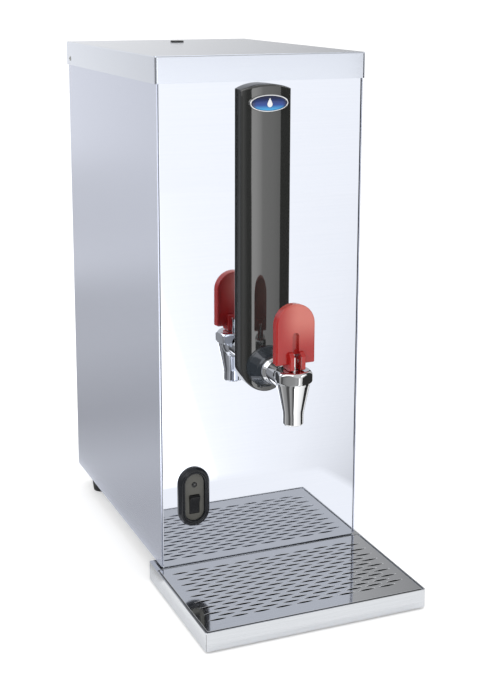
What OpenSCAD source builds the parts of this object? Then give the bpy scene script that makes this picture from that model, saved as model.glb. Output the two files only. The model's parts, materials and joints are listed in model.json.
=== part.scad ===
// Countertop hot-water dispenser: a sheet-steel cabinet with a tank, a cam-lever tap and a drip tray.
// Frame: +Z up, the front faces -Y, +X to the right seen from the front, counter at z = 0,
// origin at the centre of the whole assembly's footprint.

/* [Cabinet] */
// Width of the cabinet over the side panels
body_w = 210; // [206:1:218]
// Depth of the cabinet from front panel to rear panel
body_d = 300; // [290:5:330]
// Height of the lid's top face above the counter
lid_top_z = 515; // [505:5:530]
// Height of the panels' lower edge above the counter, which is the height of the feet
panel_z = 22; // [20:1:26]
// Thickness of the cabinet sheet
sheet = 1.2; // [0.8:0.1:1.4]
// Height of the lid's skirt
lid_h = 25; // [20:1:30]
// How far the lid stands out past the cabinet on each side
lid_over = 2; // [1.8:0.1:3]

/* [Drip tray] */
// Width of the drip tray
tray_w = 222; // [220:1:230]
// How far the tray reaches out in front of the front panel
tray_out = 136; // [134:1:150]
// How far the tray reaches in under the cabinet
tray_in = 21.5; // [10:0.5:21.5]
// Height of the tray's rim
tray_top_z = 20; // [18:0.5:20.5]
// Number of slot rows in the grille
slot_rows = 17; // [5:1:17]
// Number of slots in each row
slot_cols = 9; // [3:1:9]

/* [Column and badge] */
// Width of the column cover
col_w = 51; // [46:1:56]
// Depth of the column cover at its crown
col_d = 14.5; // [13:0.5:17]
// Height of the column's arched top
col_top_z = 488; // [470:1:490]
// Width of the oval badge
badge_w = 39; // [30:1:40]
// Height of the oval badge
badge_h = 16.5; // [12:0.5:18]

/* [Tap] */
// Height of the tap's horizontal axis
tap_z = 217.5; // [210:0.5:225]
// Distance of the tap's vertical axis from the front panel
tap_out = 74; // [70:1:90]
// Lever tilt that opens the tap fully, in degrees
lever_tilt = 35; // [20:1:40]
// How far the cam lifts the stem at full tilt
stem_lift = 3; // [2:0.1:3.5]
// Width of the lever's paddle
lever_w = 41; // [34:1:46]
// Height of the lever's top
lever_top_z = 293; // [280:1:300]

/* [Switch] */
// Centre of the switch bezel across the cabinet
switch_x = -71.5; // [-78:0.5:-60]
// Height of the centre of the switch bezel
switch_z = 90; // [85:1:110]
// Width of the bezel
bezel_w = 32; // [30:1:34]
// Height of the bezel
bezel_h = 60; // [58:1:64]

/* [Tank] */
// Outer radius of the tank
tank_r = 85; // [75:1:85]
// Height of the tank's floor
tank_z0 = 196; // [194:1:198]
// Height of the tank's rim
tank_z1 = 440; // [400:5:450]

/* [Hidden] */
$fn = 64;
rear_out = 20;                                     // the inlet thread stands this far out of the rear panel
front_y = tray_out - (tray_out + body_d + rear_out) / 2; // outer face of the front panel
back_y = front_y + body_d;                         // outer face of the rear panel
half_w = body_w / 2;
eps = 0.05;                                        // overshoot of a cutting body
gap = 0.3;                                         // clearance between separate pieces
panel_top_z = lid_top_z - sheet - gap - 1;         // the panels end just under the lid
skirt_z = lid_top_z - lid_h;
seam_x = half_w - sheet - 0.4;                     // edge of the front and rear panels beside the side panels
flange = 13;                                       // return flanges of the sheet panels
base_t = 1.5;
base_up = 14;                                      // height of the base plate's turned-up edges
// feet
foot_x = half_w - 18;
foot_front_y = front_y + 36;
foot_back_y = back_y - 36;
foot_r_top = 13;
foot_r_low = 10;
screw_r = 2;                                       // M4
head_r = 3.8;
head_h = 2.4;
hole_r = 2.2;
// tap
tap_y = front_y - tap_out;
shank_r = 10;
panel_hole_r = 11;
bonnet_z0 = tap_z + 2;
bonnet_z1 = bonnet_z0 + 11.5;
bonnet_across = 37;
neck_r = 12;
chamber_r = 9;
seat_z = tap_z - 11.5;
outlet_r = 6;
spout_z = tap_z - 38.9;
stem_r = 3.5;
pin_r = 2;
pin_z = bonnet_z1 + 8;
cam_gap = gap;
cam_k = stem_lift / (lever_tilt * PI / 180);       // lift in mm per radian of tilt
cam_h = pin_z - bonnet_z1 - cam_gap;               // height of the pin over the cam's flat heel
slot_r = 3.9;                                      // half width of the fork's slot
// switch
recess_w = 20.3;
recess_h = 47;
bezel_t = 5.5;
floor_t = 2.3;
rocker_z = switch_z - 7.25;
rocker_r = 9.5;
rocker_w = 10;
rocker_y = front_y - 1;
rocker_angle = 12;
axle_r = 0.8;
lamp_z = switch_z + 12.6;
// tank and its fittings
tank_y = front_y + 106;
tank_wall = 1;
rim_r = tank_r + 7;
jacket_r0 = tank_r + gap;
jacket_r1 = tank_r + 12;
lid_plate_t = 2;
gasket_t = 2;
cover_z = tank_z1 + gasket_t;                      // underside of the tank lid
cover_top_z = cover_z + lid_plate_t;
element_y = tank_y + 15;
stand_t = 1.5;
stand_x = 78;
// rear fittings
inlet_x = 52;
inlet_z = 96;
inlet_r = 13.2;
gland_x = -58;
gland_z = 60;
drain_x = 0;
drain_z = 60;
// tray
tray_front_y = front_y - tray_out;
tray_back_y = front_y + tray_in;
tray_foot_h = 2;
tray_wall = 1.2;
basin_back_y = front_y - 1.6;                      // front face of the basin's rear wall
grille_t = 1.5;
grille_gap = 1.7;
slot_len = 18;
slot_wide = 2.8;
slot_pitch = 21.5;
row_pitch = 6.2;
row_back_y = front_y - 16;
board_y = front_y + 242;
board_z = 40;
// fasteners and small fittings
lid_screw_y = back_y - 14;
lid_screw_z = skirt_z + 7;
rear_screw_z = [60, 265, 470];
column_screw_z = [262, 440];
vent_x = 3;                                        // the vent plug in the lid
vent_y = back_y - 55;
fill_y = tank_y + 40;
vent_pipe_y = tank_y + 60;
valve_y = back_y - 36;
probe_places = [[-40, tank_y - 25], [-40, tank_y + 25], [0, tank_y - 45]];
probe_neck_r = 5;

// ---- shapes that repeat ----
module box(x0, x1, y0, y1, z0, z1) {
    translate([x0, y0, z0]) cube([x1 - x0, y1 - y0, z1 - z0]);
}

module rod_x(y, z, r, x0, x1) {
    translate([x0, y, z]) rotate([0, 90, 0]) cylinder(h = x1 - x0, r = r);
}

module rod_y(x, z, r, y0, y1, r_end = undef) {
    translate([x, y0, z]) rotate([-90, 0, 0])
        cylinder(h = y1 - y0, r1 = r, r2 = is_undef(r_end) ? r : r_end);
}

module rod_z(x, y, r, z0, z1, r_end = undef) {
    translate([x, y, z0]) cylinder(h = z1 - z0, r1 = r, r2 = is_undef(r_end) ? r : r_end);
}

// A hexagon nut or head along Y, across = its size over the corners
module hex_y(x, z, across, y0, y1) {
    translate([x, y0, z]) rotate([-90, 0, 0]) cylinder(h = y1 - y0, r = across / 2, $fn = 6);
}

module hex_z(x, y, across, z0, z1) {
    translate([x, y, z0]) cylinder(h = z1 - z0, r = across / 2, $fn = 6);
}

// Children drawn in (x, z), made solid between two planes of y
module slab_y(y0, y1) {
    translate([0, y1, 0]) rotate([90, 0, 0]) linear_extrude(y1 - y0) children();
}

// Children drawn in (y, z), made solid between two planes of x
module slab_x(x0, x1) {
    translate([x0, 0, 0]) rotate([90, 0, 90]) linear_extrude(x1 - x0) children();
}

module slab_z(z0, z1) {
    translate([0, 0, z0]) linear_extrude(z1 - z0) children();
}

module round_rect(x0, x1, y0, y1, r) {
    translate([x0 + r, y0]) square([x1 - x0 - 2 * r, y1 - y0]);
    translate([x0, y0 + r]) square([x1 - x0, y1 - y0 - 2 * r]);
    for (x = [x0 + r, x1 - r], y = [y0 + r, y1 - r]) translate([x, y]) circle(r);
}

// An upright shape with two half-round ends
module stadium(w, h) {
    for (s = [-1, 1]) translate([0, s * (h - w) / 2]) circle(w / 2);
    translate([-w / 2, -(h - w) / 2]) square([w, h - w]);
}

module oval(w, h) {
    polygon([for (i = [0:63]) [w / 2 * cos(i * 5.625), h / 2 * sin(i * 5.625)]]);
}

// A quarter bend in the (y, z) plane at x, from angle a0
module bend(x, y, z, radius, r, a0) {
    translate([x, y, z]) rotate([90, 0, 90]) rotate(a0) rotate_extrude(angle = 90)
        translate([radius, 0]) circle(r);
}

// ---- cabinet ----
module panel_cutouts() {
    translate([switch_x, 0, switch_z]) box(-10, 10, front_y - 1, front_y + sheet + eps, -22, 22);
    rod_y(0, tap_z, panel_hole_r, front_y - 1, front_y + 2 * sheet);
    for (z = column_screw_z) rod_y(0, z, 1.7, front_y - 1, front_y + 2 * sheet);
}

module front_panel() {
    color("gainsboro") difference() {
        union() {
            box(-seam_x, seam_x, front_y, front_y + sheet, panel_z, panel_top_z);
            box(-seam_x, seam_x, front_y, front_y + flange, panel_top_z - sheet, panel_top_z);
            for (x = [-seam_x, seam_x - sheet])
                box(x, x + sheet, front_y, front_y + flange, panel_z + base_up + 4, panel_top_z);
        }
        panel_cutouts();
    }
}

// Side panel with x measured outwards, mirrored for the left side
module side_panel() {
    difference() {
        union() {
            box(half_w - sheet, half_w, front_y, back_y, panel_z, panel_top_z);
            box(half_w - flange, half_w, back_y - 2 * sheet, back_y - sheet, panel_z + base_up + 4, panel_top_z);
            box(half_w - flange, half_w, front_y + flange + 1, back_y - 2 * sheet, panel_top_z - sheet,
                panel_top_z);
        }
        rod_x(lid_screw_y, lid_screw_z, hole_r, half_w - 2 * sheet, half_w + 1);
        for (z = rear_screw_z)
            rod_y(half_w - 7, z, 1.7, back_y - 3 * sheet, back_y - sheet + eps);
    }
}

module left_side_panel() {
    color("silver") mirror([1, 0, 0]) side_panel();
}

module right_side_panel() {
    color("silver") side_panel();
}

module rear_panel() {
    color("silver") difference() {
        box(-seam_x, seam_x, back_y - sheet, back_y, panel_z, panel_top_z);
        rod_y(inlet_x, inlet_z, inlet_r + 0.3, back_y - 2 * sheet, back_y + 1);
        rod_y(gland_x, gland_z, 8.3, back_y - 2 * sheet, back_y + 1);
        rod_y(drain_x, drain_z, 6.5, back_y - 2 * sheet, back_y + 1);
        for (s = [-1, 1], z = rear_screw_z) rod_y(s * (half_w - 7), z, 1.8, back_y - 2 * sheet, back_y + 1);
        for (i = [0:7]) slab_y(back_y - 2 * sheet, back_y + 1) translate([0, 330 + 14 * i])
            round_rect(-45, 45, 0, 5, 2.4);
    }
}

module rear_panel_screws() {
    color("silver") for (s = [-1, 1], z = rear_screw_z) {
        rod_y(s * (half_w - 7), z, 1.6, back_y - 8, back_y);
        rod_y(s * (half_w - 7), z, 3.2, back_y, back_y + 2);
    }
}

module base_plate() {
    y0 = front_y + sheet + gap;
    y1 = back_y - 2 * sheet - gap;
    color("silver") difference() {
        box(-seam_x, seam_x, y0, y1, panel_z, panel_z + base_up);
        box(-seam_x + base_t, seam_x - base_t, y0 + base_t, y1 - base_t, panel_z + base_t, panel_z + base_up + 1);
        foot_places() rod_z(0, 0, hole_r, panel_z - 1, panel_z + 2 * base_t);
        for (s = [-1, 1], i = [0:5])
            slab_z(panel_z - 1, panel_z + 2 * base_t) translate([s * 40, front_y + 60 + 12 * i])
                round_rect(-20, 20, 0, 4, 1.9);
    }
}

module lid() {
    x = half_w + lid_over;
    y0 = front_y - lid_over;
    y1 = back_y + lid_over;
    color("whitesmoke") difference() {
        slab_z(skirt_z, lid_top_z) round_rect(-x, x, y0, y1, 3);
        slab_z(skirt_z - 1, lid_top_z - sheet)
            round_rect(-x + sheet, x - sheet, y0 + sheet, y1 - sheet, 3 - sheet);
        rod_z(vent_x, vent_y, 5.2, lid_top_z - 2 * sheet, lid_top_z + 1);
        rod_x(lid_screw_y, lid_screw_z, hole_r, -x - 1, x + 1);
    }
}

module lid_screws() {
    x = half_w + lid_over;
    color("silver") for (s = [0, 1]) mirror([s, 0, 0]) {
        rod_x(lid_screw_y, lid_screw_z, screw_r, x - 9, x);
        rod_x(lid_screw_y, lid_screw_z, head_r, x, x + 1.8);
    }
}

module lid_vent_plug() {
    color("dimgray") difference() {
        union() {
            rod_z(vent_x, vent_y, 7.25, lid_top_z, lid_top_z + 1.5);
            rod_z(vent_x, vent_y, 5, lid_top_z - 6, lid_top_z);
        }
        for (a = [0:60:300]) translate([vent_x, vent_y, 0]) rotate(a) rod_z(3, 0, 0.9, lid_top_z - 7, lid_top_z + 2);
    }
}

// ---- feet ----
module foot_places() {
    for (x = [-foot_x, foot_x], y = [foot_front_y, foot_back_y]) translate([x, y, 0]) children();
}

module foot() {
    color("dimgray") difference() {
        rod_z(0, 0, foot_r_low, 0, panel_z, foot_r_top);
        rod_z(0, 0, 5, -1, 14);
        rod_z(0, 0, hole_r, 0, panel_z + 1);
    }
}

module foot_front_left() {
    translate([-foot_x, foot_front_y, 0]) foot();
}

module foot_front_right() {
    translate([foot_x, foot_front_y, 0]) foot();
}

module foot_rear_left() {
    translate([-foot_x, foot_back_y, 0]) foot();
}

module foot_rear_right() {
    translate([foot_x, foot_back_y, 0]) foot();
}

module foot_screws() {
    color("silver") foot_places() {
        rod_z(0, 0, head_r, 14 - head_h, 14);
        rod_z(0, 0, screw_r, 14, panel_z + base_t + 6);
    }
}

module foot_nuts() {
    color("silver") foot_places() difference() {
        hex_z(0, 0, 8.1, panel_z + base_t, panel_z + base_t + 3.2);
        rod_z(0, 0, screw_r, panel_z, panel_z + 10);
    }
}

// ---- tank ----
module tank_stand() {
    y0 = tank_y - 60;
    y1 = tank_y + 60;
    z0 = panel_z + base_t;
    color("silver") difference() {
        union() {
            box(-stand_x, stand_x, y0, y1, tank_z0 - stand_t, tank_z0);
            for (s = [0, 1]) mirror([s, 0, 0]) {
                box(stand_x - stand_t, stand_x, y0, y1, z0, tank_z0);
                box(stand_x - 14, stand_x, y0, y1, z0, z0 + stand_t);
            }
        }
        rod_z(0, element_y, 27, tank_z0 - 5, tank_z0 + 1);
    }
}

module tank_shell() {
    color("silver") difference() {
        union() {
            rod_z(0, tank_y, tank_r, tank_z0, tank_z1);
            rod_z(0, tank_y, rim_r, tank_z1 - 2, tank_z1);
            rod_y(0, tap_z, 14, tank_y - tank_r - 6, tank_y - tank_r + 4);
        }
        rod_z(0, tank_y, tank_r - tank_wall, tank_z0 + tank_wall, tank_z1 + 1);
        rod_z(0, element_y, 16.2, tank_z0 - 1, tank_z0 + 2);
        rod_y(0, tap_z, shank_r + 0.05, tank_y - tank_r - 7, tank_y - tank_r + 6);
        rim_bolts() rod_z(0, 0, hole_r, tank_z1 - 3, tank_z1 + 1);
    }
}

module rim_bolts() {
    translate([0, tank_y, 0]) for (a = [22.5:45:337.5]) rotate(a) translate([rim_r - 3.6, 0, 0]) children();
}

module tank_gasket() {
    color("white") difference() {
        rod_z(0, tank_y, rim_r, tank_z1, tank_z1 + gasket_t);
        rod_z(0, tank_y, tank_r - tank_wall, tank_z1 - 1, tank_z1 + gasket_t + 1);
        rim_bolts() rod_z(0, 0, hole_r, tank_z1 - 1, tank_z1 + gasket_t + 1);
    }
}

module tank_lid() {
    color("silver") difference() {
        union() {
            rod_z(0, tank_y, rim_r, cover_z, cover_top_z);
            rod_z(inlet_x, fill_y, 3.9, cover_z, cover_top_z + 14);
        }
        rod_z(inlet_x, fill_y, 2.5, cover_z - 1, cover_top_z + 15);
        rod_z(drain_x, vent_pipe_y, 5, cover_z - 1, cover_top_z + 1);
        for (p = probe_places) rod_z(p[0], p[1], probe_neck_r, cover_z - 1, cover_top_z + 1);
        rim_bolts() rod_z(0, 0, hole_r, cover_z - 1, cover_top_z + 1);
    }
}

module tank_lid_screws() {
    color("silver") rim_bolts() {
        rod_z(0, 0, head_r, cover_top_z, cover_top_z + head_h);
        rod_z(0, 0, screw_r, tank_z1 - 6, cover_top_z);
    }
}

module insulation_jacket() {
    color("khaki") difference() {
        rod_z(0, tank_y, jacket_r1, tank_z0 + gap, tank_z1 - 9);
        rod_z(0, tank_y, jacket_r0, tank_z0, tank_z1);
        rod_y(0, tap_z, 14 + gap, tank_y - jacket_r1 - 1, tank_y);
    }
}

// One hairpin of the heating element, standing in the (x, z) plane
module hairpin(z_top) {
    for (s = [-1, 1]) rod_z(s * 9, 0, 3.5, tank_z0 - 3, z_top);
    translate([0, 0, z_top]) rotate([90, 0, 0]) rotate_extrude(angle = 180) translate([9, 0]) circle(3.5);
}

module heating_element() {
    color("silver") translate([0, element_y, 0]) {
        hex_z(0, 0, 50, tank_z0 - 12, tank_z0 - 3);
        rod_z(0, 0, 16, tank_z0 - 3, tank_z0 + 3);
        hairpin(tank_z0 + 95);
        rotate(90) hairpin(tank_z0 + 118);
        for (x = [-6, 6]) rod_z(x, 0, 2, tank_z0 - 22, tank_z0 - 12);
    }
}

module element_gasket() {
    color("white") difference() {
        rod_z(0, element_y, 21, tank_z0 - 3, tank_z0);
        rod_z(0, element_y, 16, tank_z0 - 4, tank_z0 + 1);
    }
}

// A probe screwed into the tank lid, its rod reaching down to z_low
module probe(i, z_low, r) {
    x = probe_places[i][0];
    y = probe_places[i][1];
    rod_z(x, y, r, z_low, cover_z);
    rod_z(x, y, probe_neck_r, cover_z, cover_top_z);
    hex_z(x, y, 15, cover_top_z, cover_top_z + 8);
    rod_z(x, y, 1.5, cover_top_z + 8, cover_top_z + 18);
}

module level_probe_short() {
    color("silver") probe(0, 405, 2);
}

module level_probe_long() {
    color("silver") probe(1, 345, 2);
}

module temperature_probe() {
    color("silver") probe(2, 300, 3);
}

module overheat_cutout() {
    color("black") {
        rod_z(55, tank_y, 12, cover_top_z, cover_top_z + 9);
        box(48, 50, tank_y - 3, tank_y + 3, cover_top_z + 9, cover_top_z + 17);
        box(60, 62, tank_y - 3, tank_y + 3, cover_top_z + 9, cover_top_z + 17);
    }
}

// ---- water supply ----
module inlet_solenoid() {
    color("white") difference() {
        union() {
            rod_y(inlet_x, inlet_z, inlet_r - 0.2, back_y - sheet, back_y + 6);
            rod_y(inlet_x, inlet_z, inlet_r, back_y + 6, back_y + rear_out);
            rod_y(inlet_x, inlet_z, 18, back_y - sheet - 4, back_y - sheet);
            rod_y(inlet_x, inlet_z, 11, back_y - 16, back_y - sheet - 4);
            box(inlet_x - 13, inlet_x + 13, valve_y - 13, back_y - 16, inlet_z - 13, inlet_z + 13);
            rod_z(inlet_x, valve_y, 3.9, inlet_z + 13, inlet_z + 27);
            rod_y(inlet_x, inlet_z, 5, valve_y - 45, valve_y - 13);
        }
        rod_y(inlet_x, inlet_z, 9, valve_y + 12, back_y + rear_out + 1);
        rod_z(inlet_x, valve_y, 2.5, inlet_z, inlet_z + 28);
        rod_y(inlet_x, inlet_z, 3, valve_y - 8, valve_y + 13);
    }
}

module solenoid_coil() {
    color("black") difference() {
        rod_y(inlet_x, inlet_z, 15, valve_y - 43, valve_y - 14);
        rod_y(inlet_x, inlet_z, 5.1, valve_y - 44, valve_y - 13);
    }
}

module inlet_filter() {
    color("white") difference() {
        rod_y(inlet_x, inlet_z, 8.7, back_y + 4, back_y + 16);
        rod_y(inlet_x, inlet_z, 7, back_y + 5.5, back_y + 17);
    }
}

module inlet_nut() {
    color("silver") difference() {
        hex_y(inlet_x, inlet_z, 39, back_y, back_y + 6);
        rod_y(inlet_x, inlet_z, inlet_r - 0.15, back_y - 1, back_y + 7);
    }
}

module fill_path(r) {
    z_low = inlet_z + 14;
    z_top = cover_top_z + 16;
    rod_z(inlet_x, valve_y, r, z_low, z_top);
    bend(inlet_x, valve_y - 18, z_top, 18, r, 0);
    rod_y(inlet_x, z_top + 18, r, fill_y + 18, valve_y - 18);
    bend(inlet_x, fill_y + 18, z_top, 18, r, 90);
    rod_z(inlet_x, fill_y, r, cover_top_z + 1, z_top);
}

module fill_hose() {
    color("white") difference() {
        fill_path(6);
        fill_path(4.1);
        rod_z(inlet_x, valve_y, 4.1, inlet_z + 13, inlet_z + 20);
        rod_z(inlet_x, fill_y, 4.1, cover_top_z, cover_top_z + 8);
    }
}

module overflow_path(r) {
    z_top = cover_top_z + 10;
    rod_z(drain_x, vent_pipe_y, r, cover_top_z, z_top);
    bend(drain_x, vent_pipe_y + 15, z_top, 15, r, 90);
    rod_y(drain_x, z_top + 15, r, vent_pipe_y + 15, back_y - 31);
    bend(drain_x, back_y - 31, z_top, 15, r, 0);
    rod_z(drain_x, back_y - 16, r, drain_z + 15, z_top);
    bend(drain_x, back_y - 1, drain_z + 15, 15, r, 180);
    rod_y(drain_x, drain_z, r, back_y - 1, back_y + 14);
}

module overflow_pipe() {
    color("silver") difference() {
        union() {
            overflow_path(6);
            rod_y(drain_x, drain_z, 7.5, back_y + 0.5, back_y + 3);
        }
        overflow_path(5);
        rod_z(drain_x, vent_pipe_y, 5, cover_top_z - 1, cover_top_z + 2);
        rod_y(drain_x, drain_z, 5, back_y + 12, back_y + 15);
    }
}

// ---- electrics ----
module control_board() {
    color("green") difference() {
        box(-92, 10, board_y - 55, board_y + 15, board_z, board_z + 1.6);
        board_holes() rod_z(0, 0, 1.7, board_z - 1, board_z + 3);
    }
}

module board_holes() {
    for (x = [-88, 6], y = [board_y - 51, board_y + 11]) translate([x, y, 0]) children();
}

module board_standoffs() {
    color("gold") board_holes() {
        hex_z(0, 0, 7, panel_z + base_t, board_z);
        rod_z(0, 0, 1.5, board_z, board_z + 4);
    }
}

module power_relay() {
    color("royalblue") box(-44, -16, board_y - 40, board_y - 24, board_z + 1.6, board_z + 20);
}

module terminal_block() {
    color("white") difference() {
        box(-82, -40, board_y - 8, board_y + 8, board_z + 1.6, board_z + 16);
        for (i = [0:4]) rod_z(-78 + 8.5 * i, board_y, 2, board_z + 8, board_z + 17);
    }
}

module cable_gland() {
    color("black") difference() {
        union() {
            rod_y(gland_x, gland_z, 8, back_y - 12, back_y);
            hex_y(gland_x, gland_z, 23, back_y, back_y + 5);
            rod_y(gland_x, gland_z, 9.5, back_y + 5, back_y + 12);
            rod_y(gland_x, gland_z, 9.5, back_y + 12, back_y + 17, 7);
        }
        rod_y(gland_x, gland_z, 4, back_y - 13, back_y + 18);
    }
}

module gland_nut() {
    color("black") difference() {
        hex_y(gland_x, gland_z, 23, back_y - sheet - 5, back_y - sheet);
        rod_y(gland_x, gland_z, 8.05, back_y - 12, back_y);
    }
}

// ---- column cover and badge ----
col_side = 8;                                      // depth of the cover's straight sides
col_wall = 2.4;
col_arc = ((col_w / 2) * (col_w / 2) + (col_d - col_side) * (col_d - col_side)) / (2 * (col_d - col_side));
crown_rise = 5;                                    // height of the arch on top of the cover
arch_r = ((col_w / 2) * (col_w / 2) + crown_rise * crown_rise) / (2 * crown_rise);
badge_z = col_top_z - 17.5;
badge_floor = 4.4;                                 // depth of the badge's pocket under the crown
badge_proud = 1.3;
rim_w = 1.8;

// The cover's outline seen from the front, drawn smaller by m on every side
module column_outline(m) {
    translate([0, tap_z]) circle(col_w / 2 - m);
    translate([-col_w / 2 + m, tap_z]) square([col_w - 2 * m, col_top_z - crown_rise - m - tap_z]);
    intersection() {
        translate([0, col_top_z - arch_r]) circle(arch_r - m);
        translate([-col_w / 2 + m, tap_z]) square([col_w - 2 * m, col_top_z - tap_z]);
    }
}

// The cover's solid outer shape, drawn smaller by m
module column_solid(m) {
    intersection() {
        slab_y(front_y - col_d - 1, front_y) column_outline(m);
        union() {
            rod_z(0, front_y - col_d + col_arc, col_arc - m, tap_z - col_w, col_top_z + 1);
            box(-col_w, col_w, front_y - 0.5, front_y + 1, tap_z - col_w, col_top_z + 1);
        }
    }
}

module column_cover() {
    color("darkslategray") difference() {
        union() {
            difference() {
                column_solid(0);
                column_solid(col_wall);
                box(-col_w / 2 + col_wall, col_w / 2 - col_wall, front_y - 1, front_y + 1, tap_z,
                    col_top_z - crown_rise - col_wall);
            }
            intersection() {
                column_solid(0.5);
                union() {
                    for (z = column_screw_z) rod_y(0, z, 4, front_y - col_d, front_y);
                    rod_y(0, tap_z, 15, front_y - col_d, front_y);
                    slab_y(front_y - col_d, front_y - col_d + badge_floor + 2) translate([0, badge_z])
                        round_rect(-badge_w / 2 - 2, badge_w / 2 + 2, -badge_h / 2 - 2, badge_h / 2 + 2, 3);
                }
            }
        }
        for (z = column_screw_z) rod_y(0, z, 1.5, front_y - 9, front_y + 1);
        rod_y(0, tap_z, panel_hole_r, front_y - col_d - 1, front_y + 1);
        slab_y(front_y - col_d - 1, front_y - col_d + badge_floor) translate([0, badge_z])
            oval(badge_w + 0.2, badge_h + 0.2);
    }
}

module column_screws() {
    color("silver") for (z = column_screw_z) {
        rod_y(0, z, 1.5, front_y - 8, front_y + sheet);
        rod_y(0, z, 3, front_y + sheet, front_y + sheet + 2);
    }
}

module badge_rim() {
    y0 = front_y - col_d - badge_proud;
    color("silver") difference() {
        slab_y(y0, front_y - col_d + badge_floor) translate([0, badge_z]) oval(badge_w, badge_h);
        slab_y(y0 - 1, front_y - col_d + badge_floor - 1) translate([0, badge_z])
            oval(badge_w - 2 * rim_w, badge_h - 2 * rim_w);
    }
}

module badge_lens() {
    dome = 90;
    y0 = front_y - col_d - badge_proud - 0.8;
    color("royalblue") intersection() {
        slab_y(y0, front_y - col_d + badge_floor - 1) translate([0, badge_z])
            oval(badge_w - 2 * rim_w - 0.2, badge_h - 2 * rim_w - 0.2);
        translate([0, y0 + dome, badge_z]) sphere(dome, $fn = 128);
    }
}

// ---- tap ----
collar_y0 = front_y - 35;
collar_y1 = front_y - 28;
barrel_r = 11;
head_r_tap = 15.6;                                 // radius of the tap's head under the bonnet
nut_y1 = front_y + sheet + 5.5;
shoulder_z = seat_z + 6;
roof_z = bonnet_z1 - 3.7;                          // underside of the bonnet's roof
neck_z = bonnet_z0 + 7;

module tap_escutcheon() {
    color("slategray") difference() {
        rod_y(0, tap_z, 13, collar_y1, front_y - 8, 21.5);
        rod_y(0, tap_z, shank_r + gap, collar_y1 - 1, front_y);
        column_solid(0);
    }
}

module tap_collar() {
    color("silver") difference() {
        union() {
            rod_y(0, tap_z, 12, collar_y0, collar_y0 + 1, 13);
            rod_y(0, tap_z, 13, collar_y0 + 1, collar_y1);
        }
        rod_y(0, tap_z, shank_r + gap, collar_y0 - 1, collar_y1 + 1);
    }
}

module tap_body() {
    color("silver") difference() {
        union() {
            rod_y(0, tap_z, shank_r, collar_y0, tank_y - tank_r + 2);
            rod_y(0, tap_z, barrel_r, tap_y, collar_y0);
            intersection() {
                translate([0, tap_y + 5, tap_z]) sphere(14.8);
                box(-20, 20, tap_y - 20, tap_y + 30, tap_z - 20, bonnet_z0);
            }
            rod_z(0, tap_y, 9.75, spout_z, spout_z + 12.4);
            rod_z(0, tap_y, 9.75, spout_z + 12.4, tap_z, head_r_tap);
            rod_z(0, tap_y, head_r_tap, tap_z, bonnet_z0);
            rod_z(0, tap_y, neck_r, bonnet_z0, neck_z);
        }
        rod_z(0, tap_y, outlet_r, spout_z - 1, seat_z + 1);
        rod_z(0, tap_y, chamber_r, seat_z, neck_z + 1);
        rod_y(0, tap_z, 5.5, tap_y, tank_y - tank_r + 3);
        difference() {
            rod_z(0, tap_y, bonnet_across / 2 + 0.5, bonnet_z0, bonnet_z0 + 20);
            rod_z(0, tap_y, neck_r, bonnet_z0 - 1, neck_z);
        }
    }
}

module tap_nut() {
    color("silver") difference() {
        hex_y(0, tap_z, 34, front_y + sheet, nut_y1);
        rod_y(0, tap_z, shank_r + 0.05, front_y, nut_y1 + 1);
    }
}

module tap_bonnet() {
    c = bonnet_across / 2;
    over = 0.4;                                    // the turned shape clears the hexagon's corners by this
    color("silver") difference() {
        intersection() {
            translate([0, tap_y, 0]) rotate(23) hex_z(0, 0, bonnet_across, bonnet_z0, bonnet_z1);
            union() {
                rod_z(0, tap_y, c - 1.6, bonnet_z0, bonnet_z0 + 2.4, c + over);
                rod_z(0, tap_y, c + over, bonnet_z0 + 2.4, bonnet_z1 - 3.4);
                rod_z(0, tap_y, c + over, bonnet_z1 - 3.4, bonnet_z1, c - 3);
            }
        }
        rod_z(0, tap_y, neck_r + 0.05, bonnet_z0 - 1, neck_z + 0.2);
        rod_z(0, tap_y, chamber_r, neck_z, roof_z);
        rod_z(0, tap_y, stem_r + 0.05, roof_z - 1, bonnet_z1 + 1);
    }
}

module tap_seat_cup() {
    color("white") difference() {
        rod_z(0, tap_y, 7.5, seat_z, shoulder_z);
        rod_z(0, tap_y, 2.5, seat_z + 1.5, shoulder_z + 1);
    }
}

module tap_stem() {
    color("silver") difference() {
        union() {
            rod_z(0, tap_y, 2.5, seat_z + 1.5, shoulder_z);
            rod_z(0, tap_y, 7, shoulder_z, shoulder_z + 2);
            rod_z(0, tap_y, stem_r, shoulder_z + 2, pin_z + 4);
            rod_z(0, tap_y, stem_r, pin_z + 4, pin_z + 5, stem_r - 1);
        }
        rod_x(tap_y, pin_z, pin_r, -stem_r - 1, stem_r + 1);
    }
}

module tap_spring() {
    color("silver") difference() {
        rod_z(0, tap_y, 7, shoulder_z + 2.1, roof_z - 0.1);
        rod_z(0, tap_y, 4.2, shoulder_z + 1, roof_z + 1);
    }
}

module tap_lever_pin() {
    color("silver") rod_x(tap_y, pin_z, pin_r, -8, 8);
}

// Point of the cam at tilt a (degrees), measured from the pin: each degree of tilt lifts the stem evenly
function cam_point(a) = let (h = cam_h + cam_k * a * PI / 180)
    [-h * sin(a) - cam_k * cos(a), -h * cos(a) + cam_k * sin(a)];

cam_end = cam_point(lever_tilt);
prong_back = 6.5;
prong_top = 10;                                    // height of the prongs over the pin

module cam_profile() {
    polygon(concat([for (i = [0:14]) cam_point(lever_tilt * i / 14)],
        [[cam_end[0], prong_top - 4], [cam_end[0] + 4, prong_top], [prong_back, prong_top],
         [prong_back, -cam_h]]));
}

// The paddle's outline seen from the front, from the pin, drawn smaller by m
module paddle_outline(m) {
    w = lever_w / 2 - m;
    z_top = lever_top_z - lever_w / 2 - pin_z;
    translate([0, z_top]) circle(w);
    translate([-w, -1 - m]) square([2 * w, z_top + 1 + m]);
}

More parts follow.
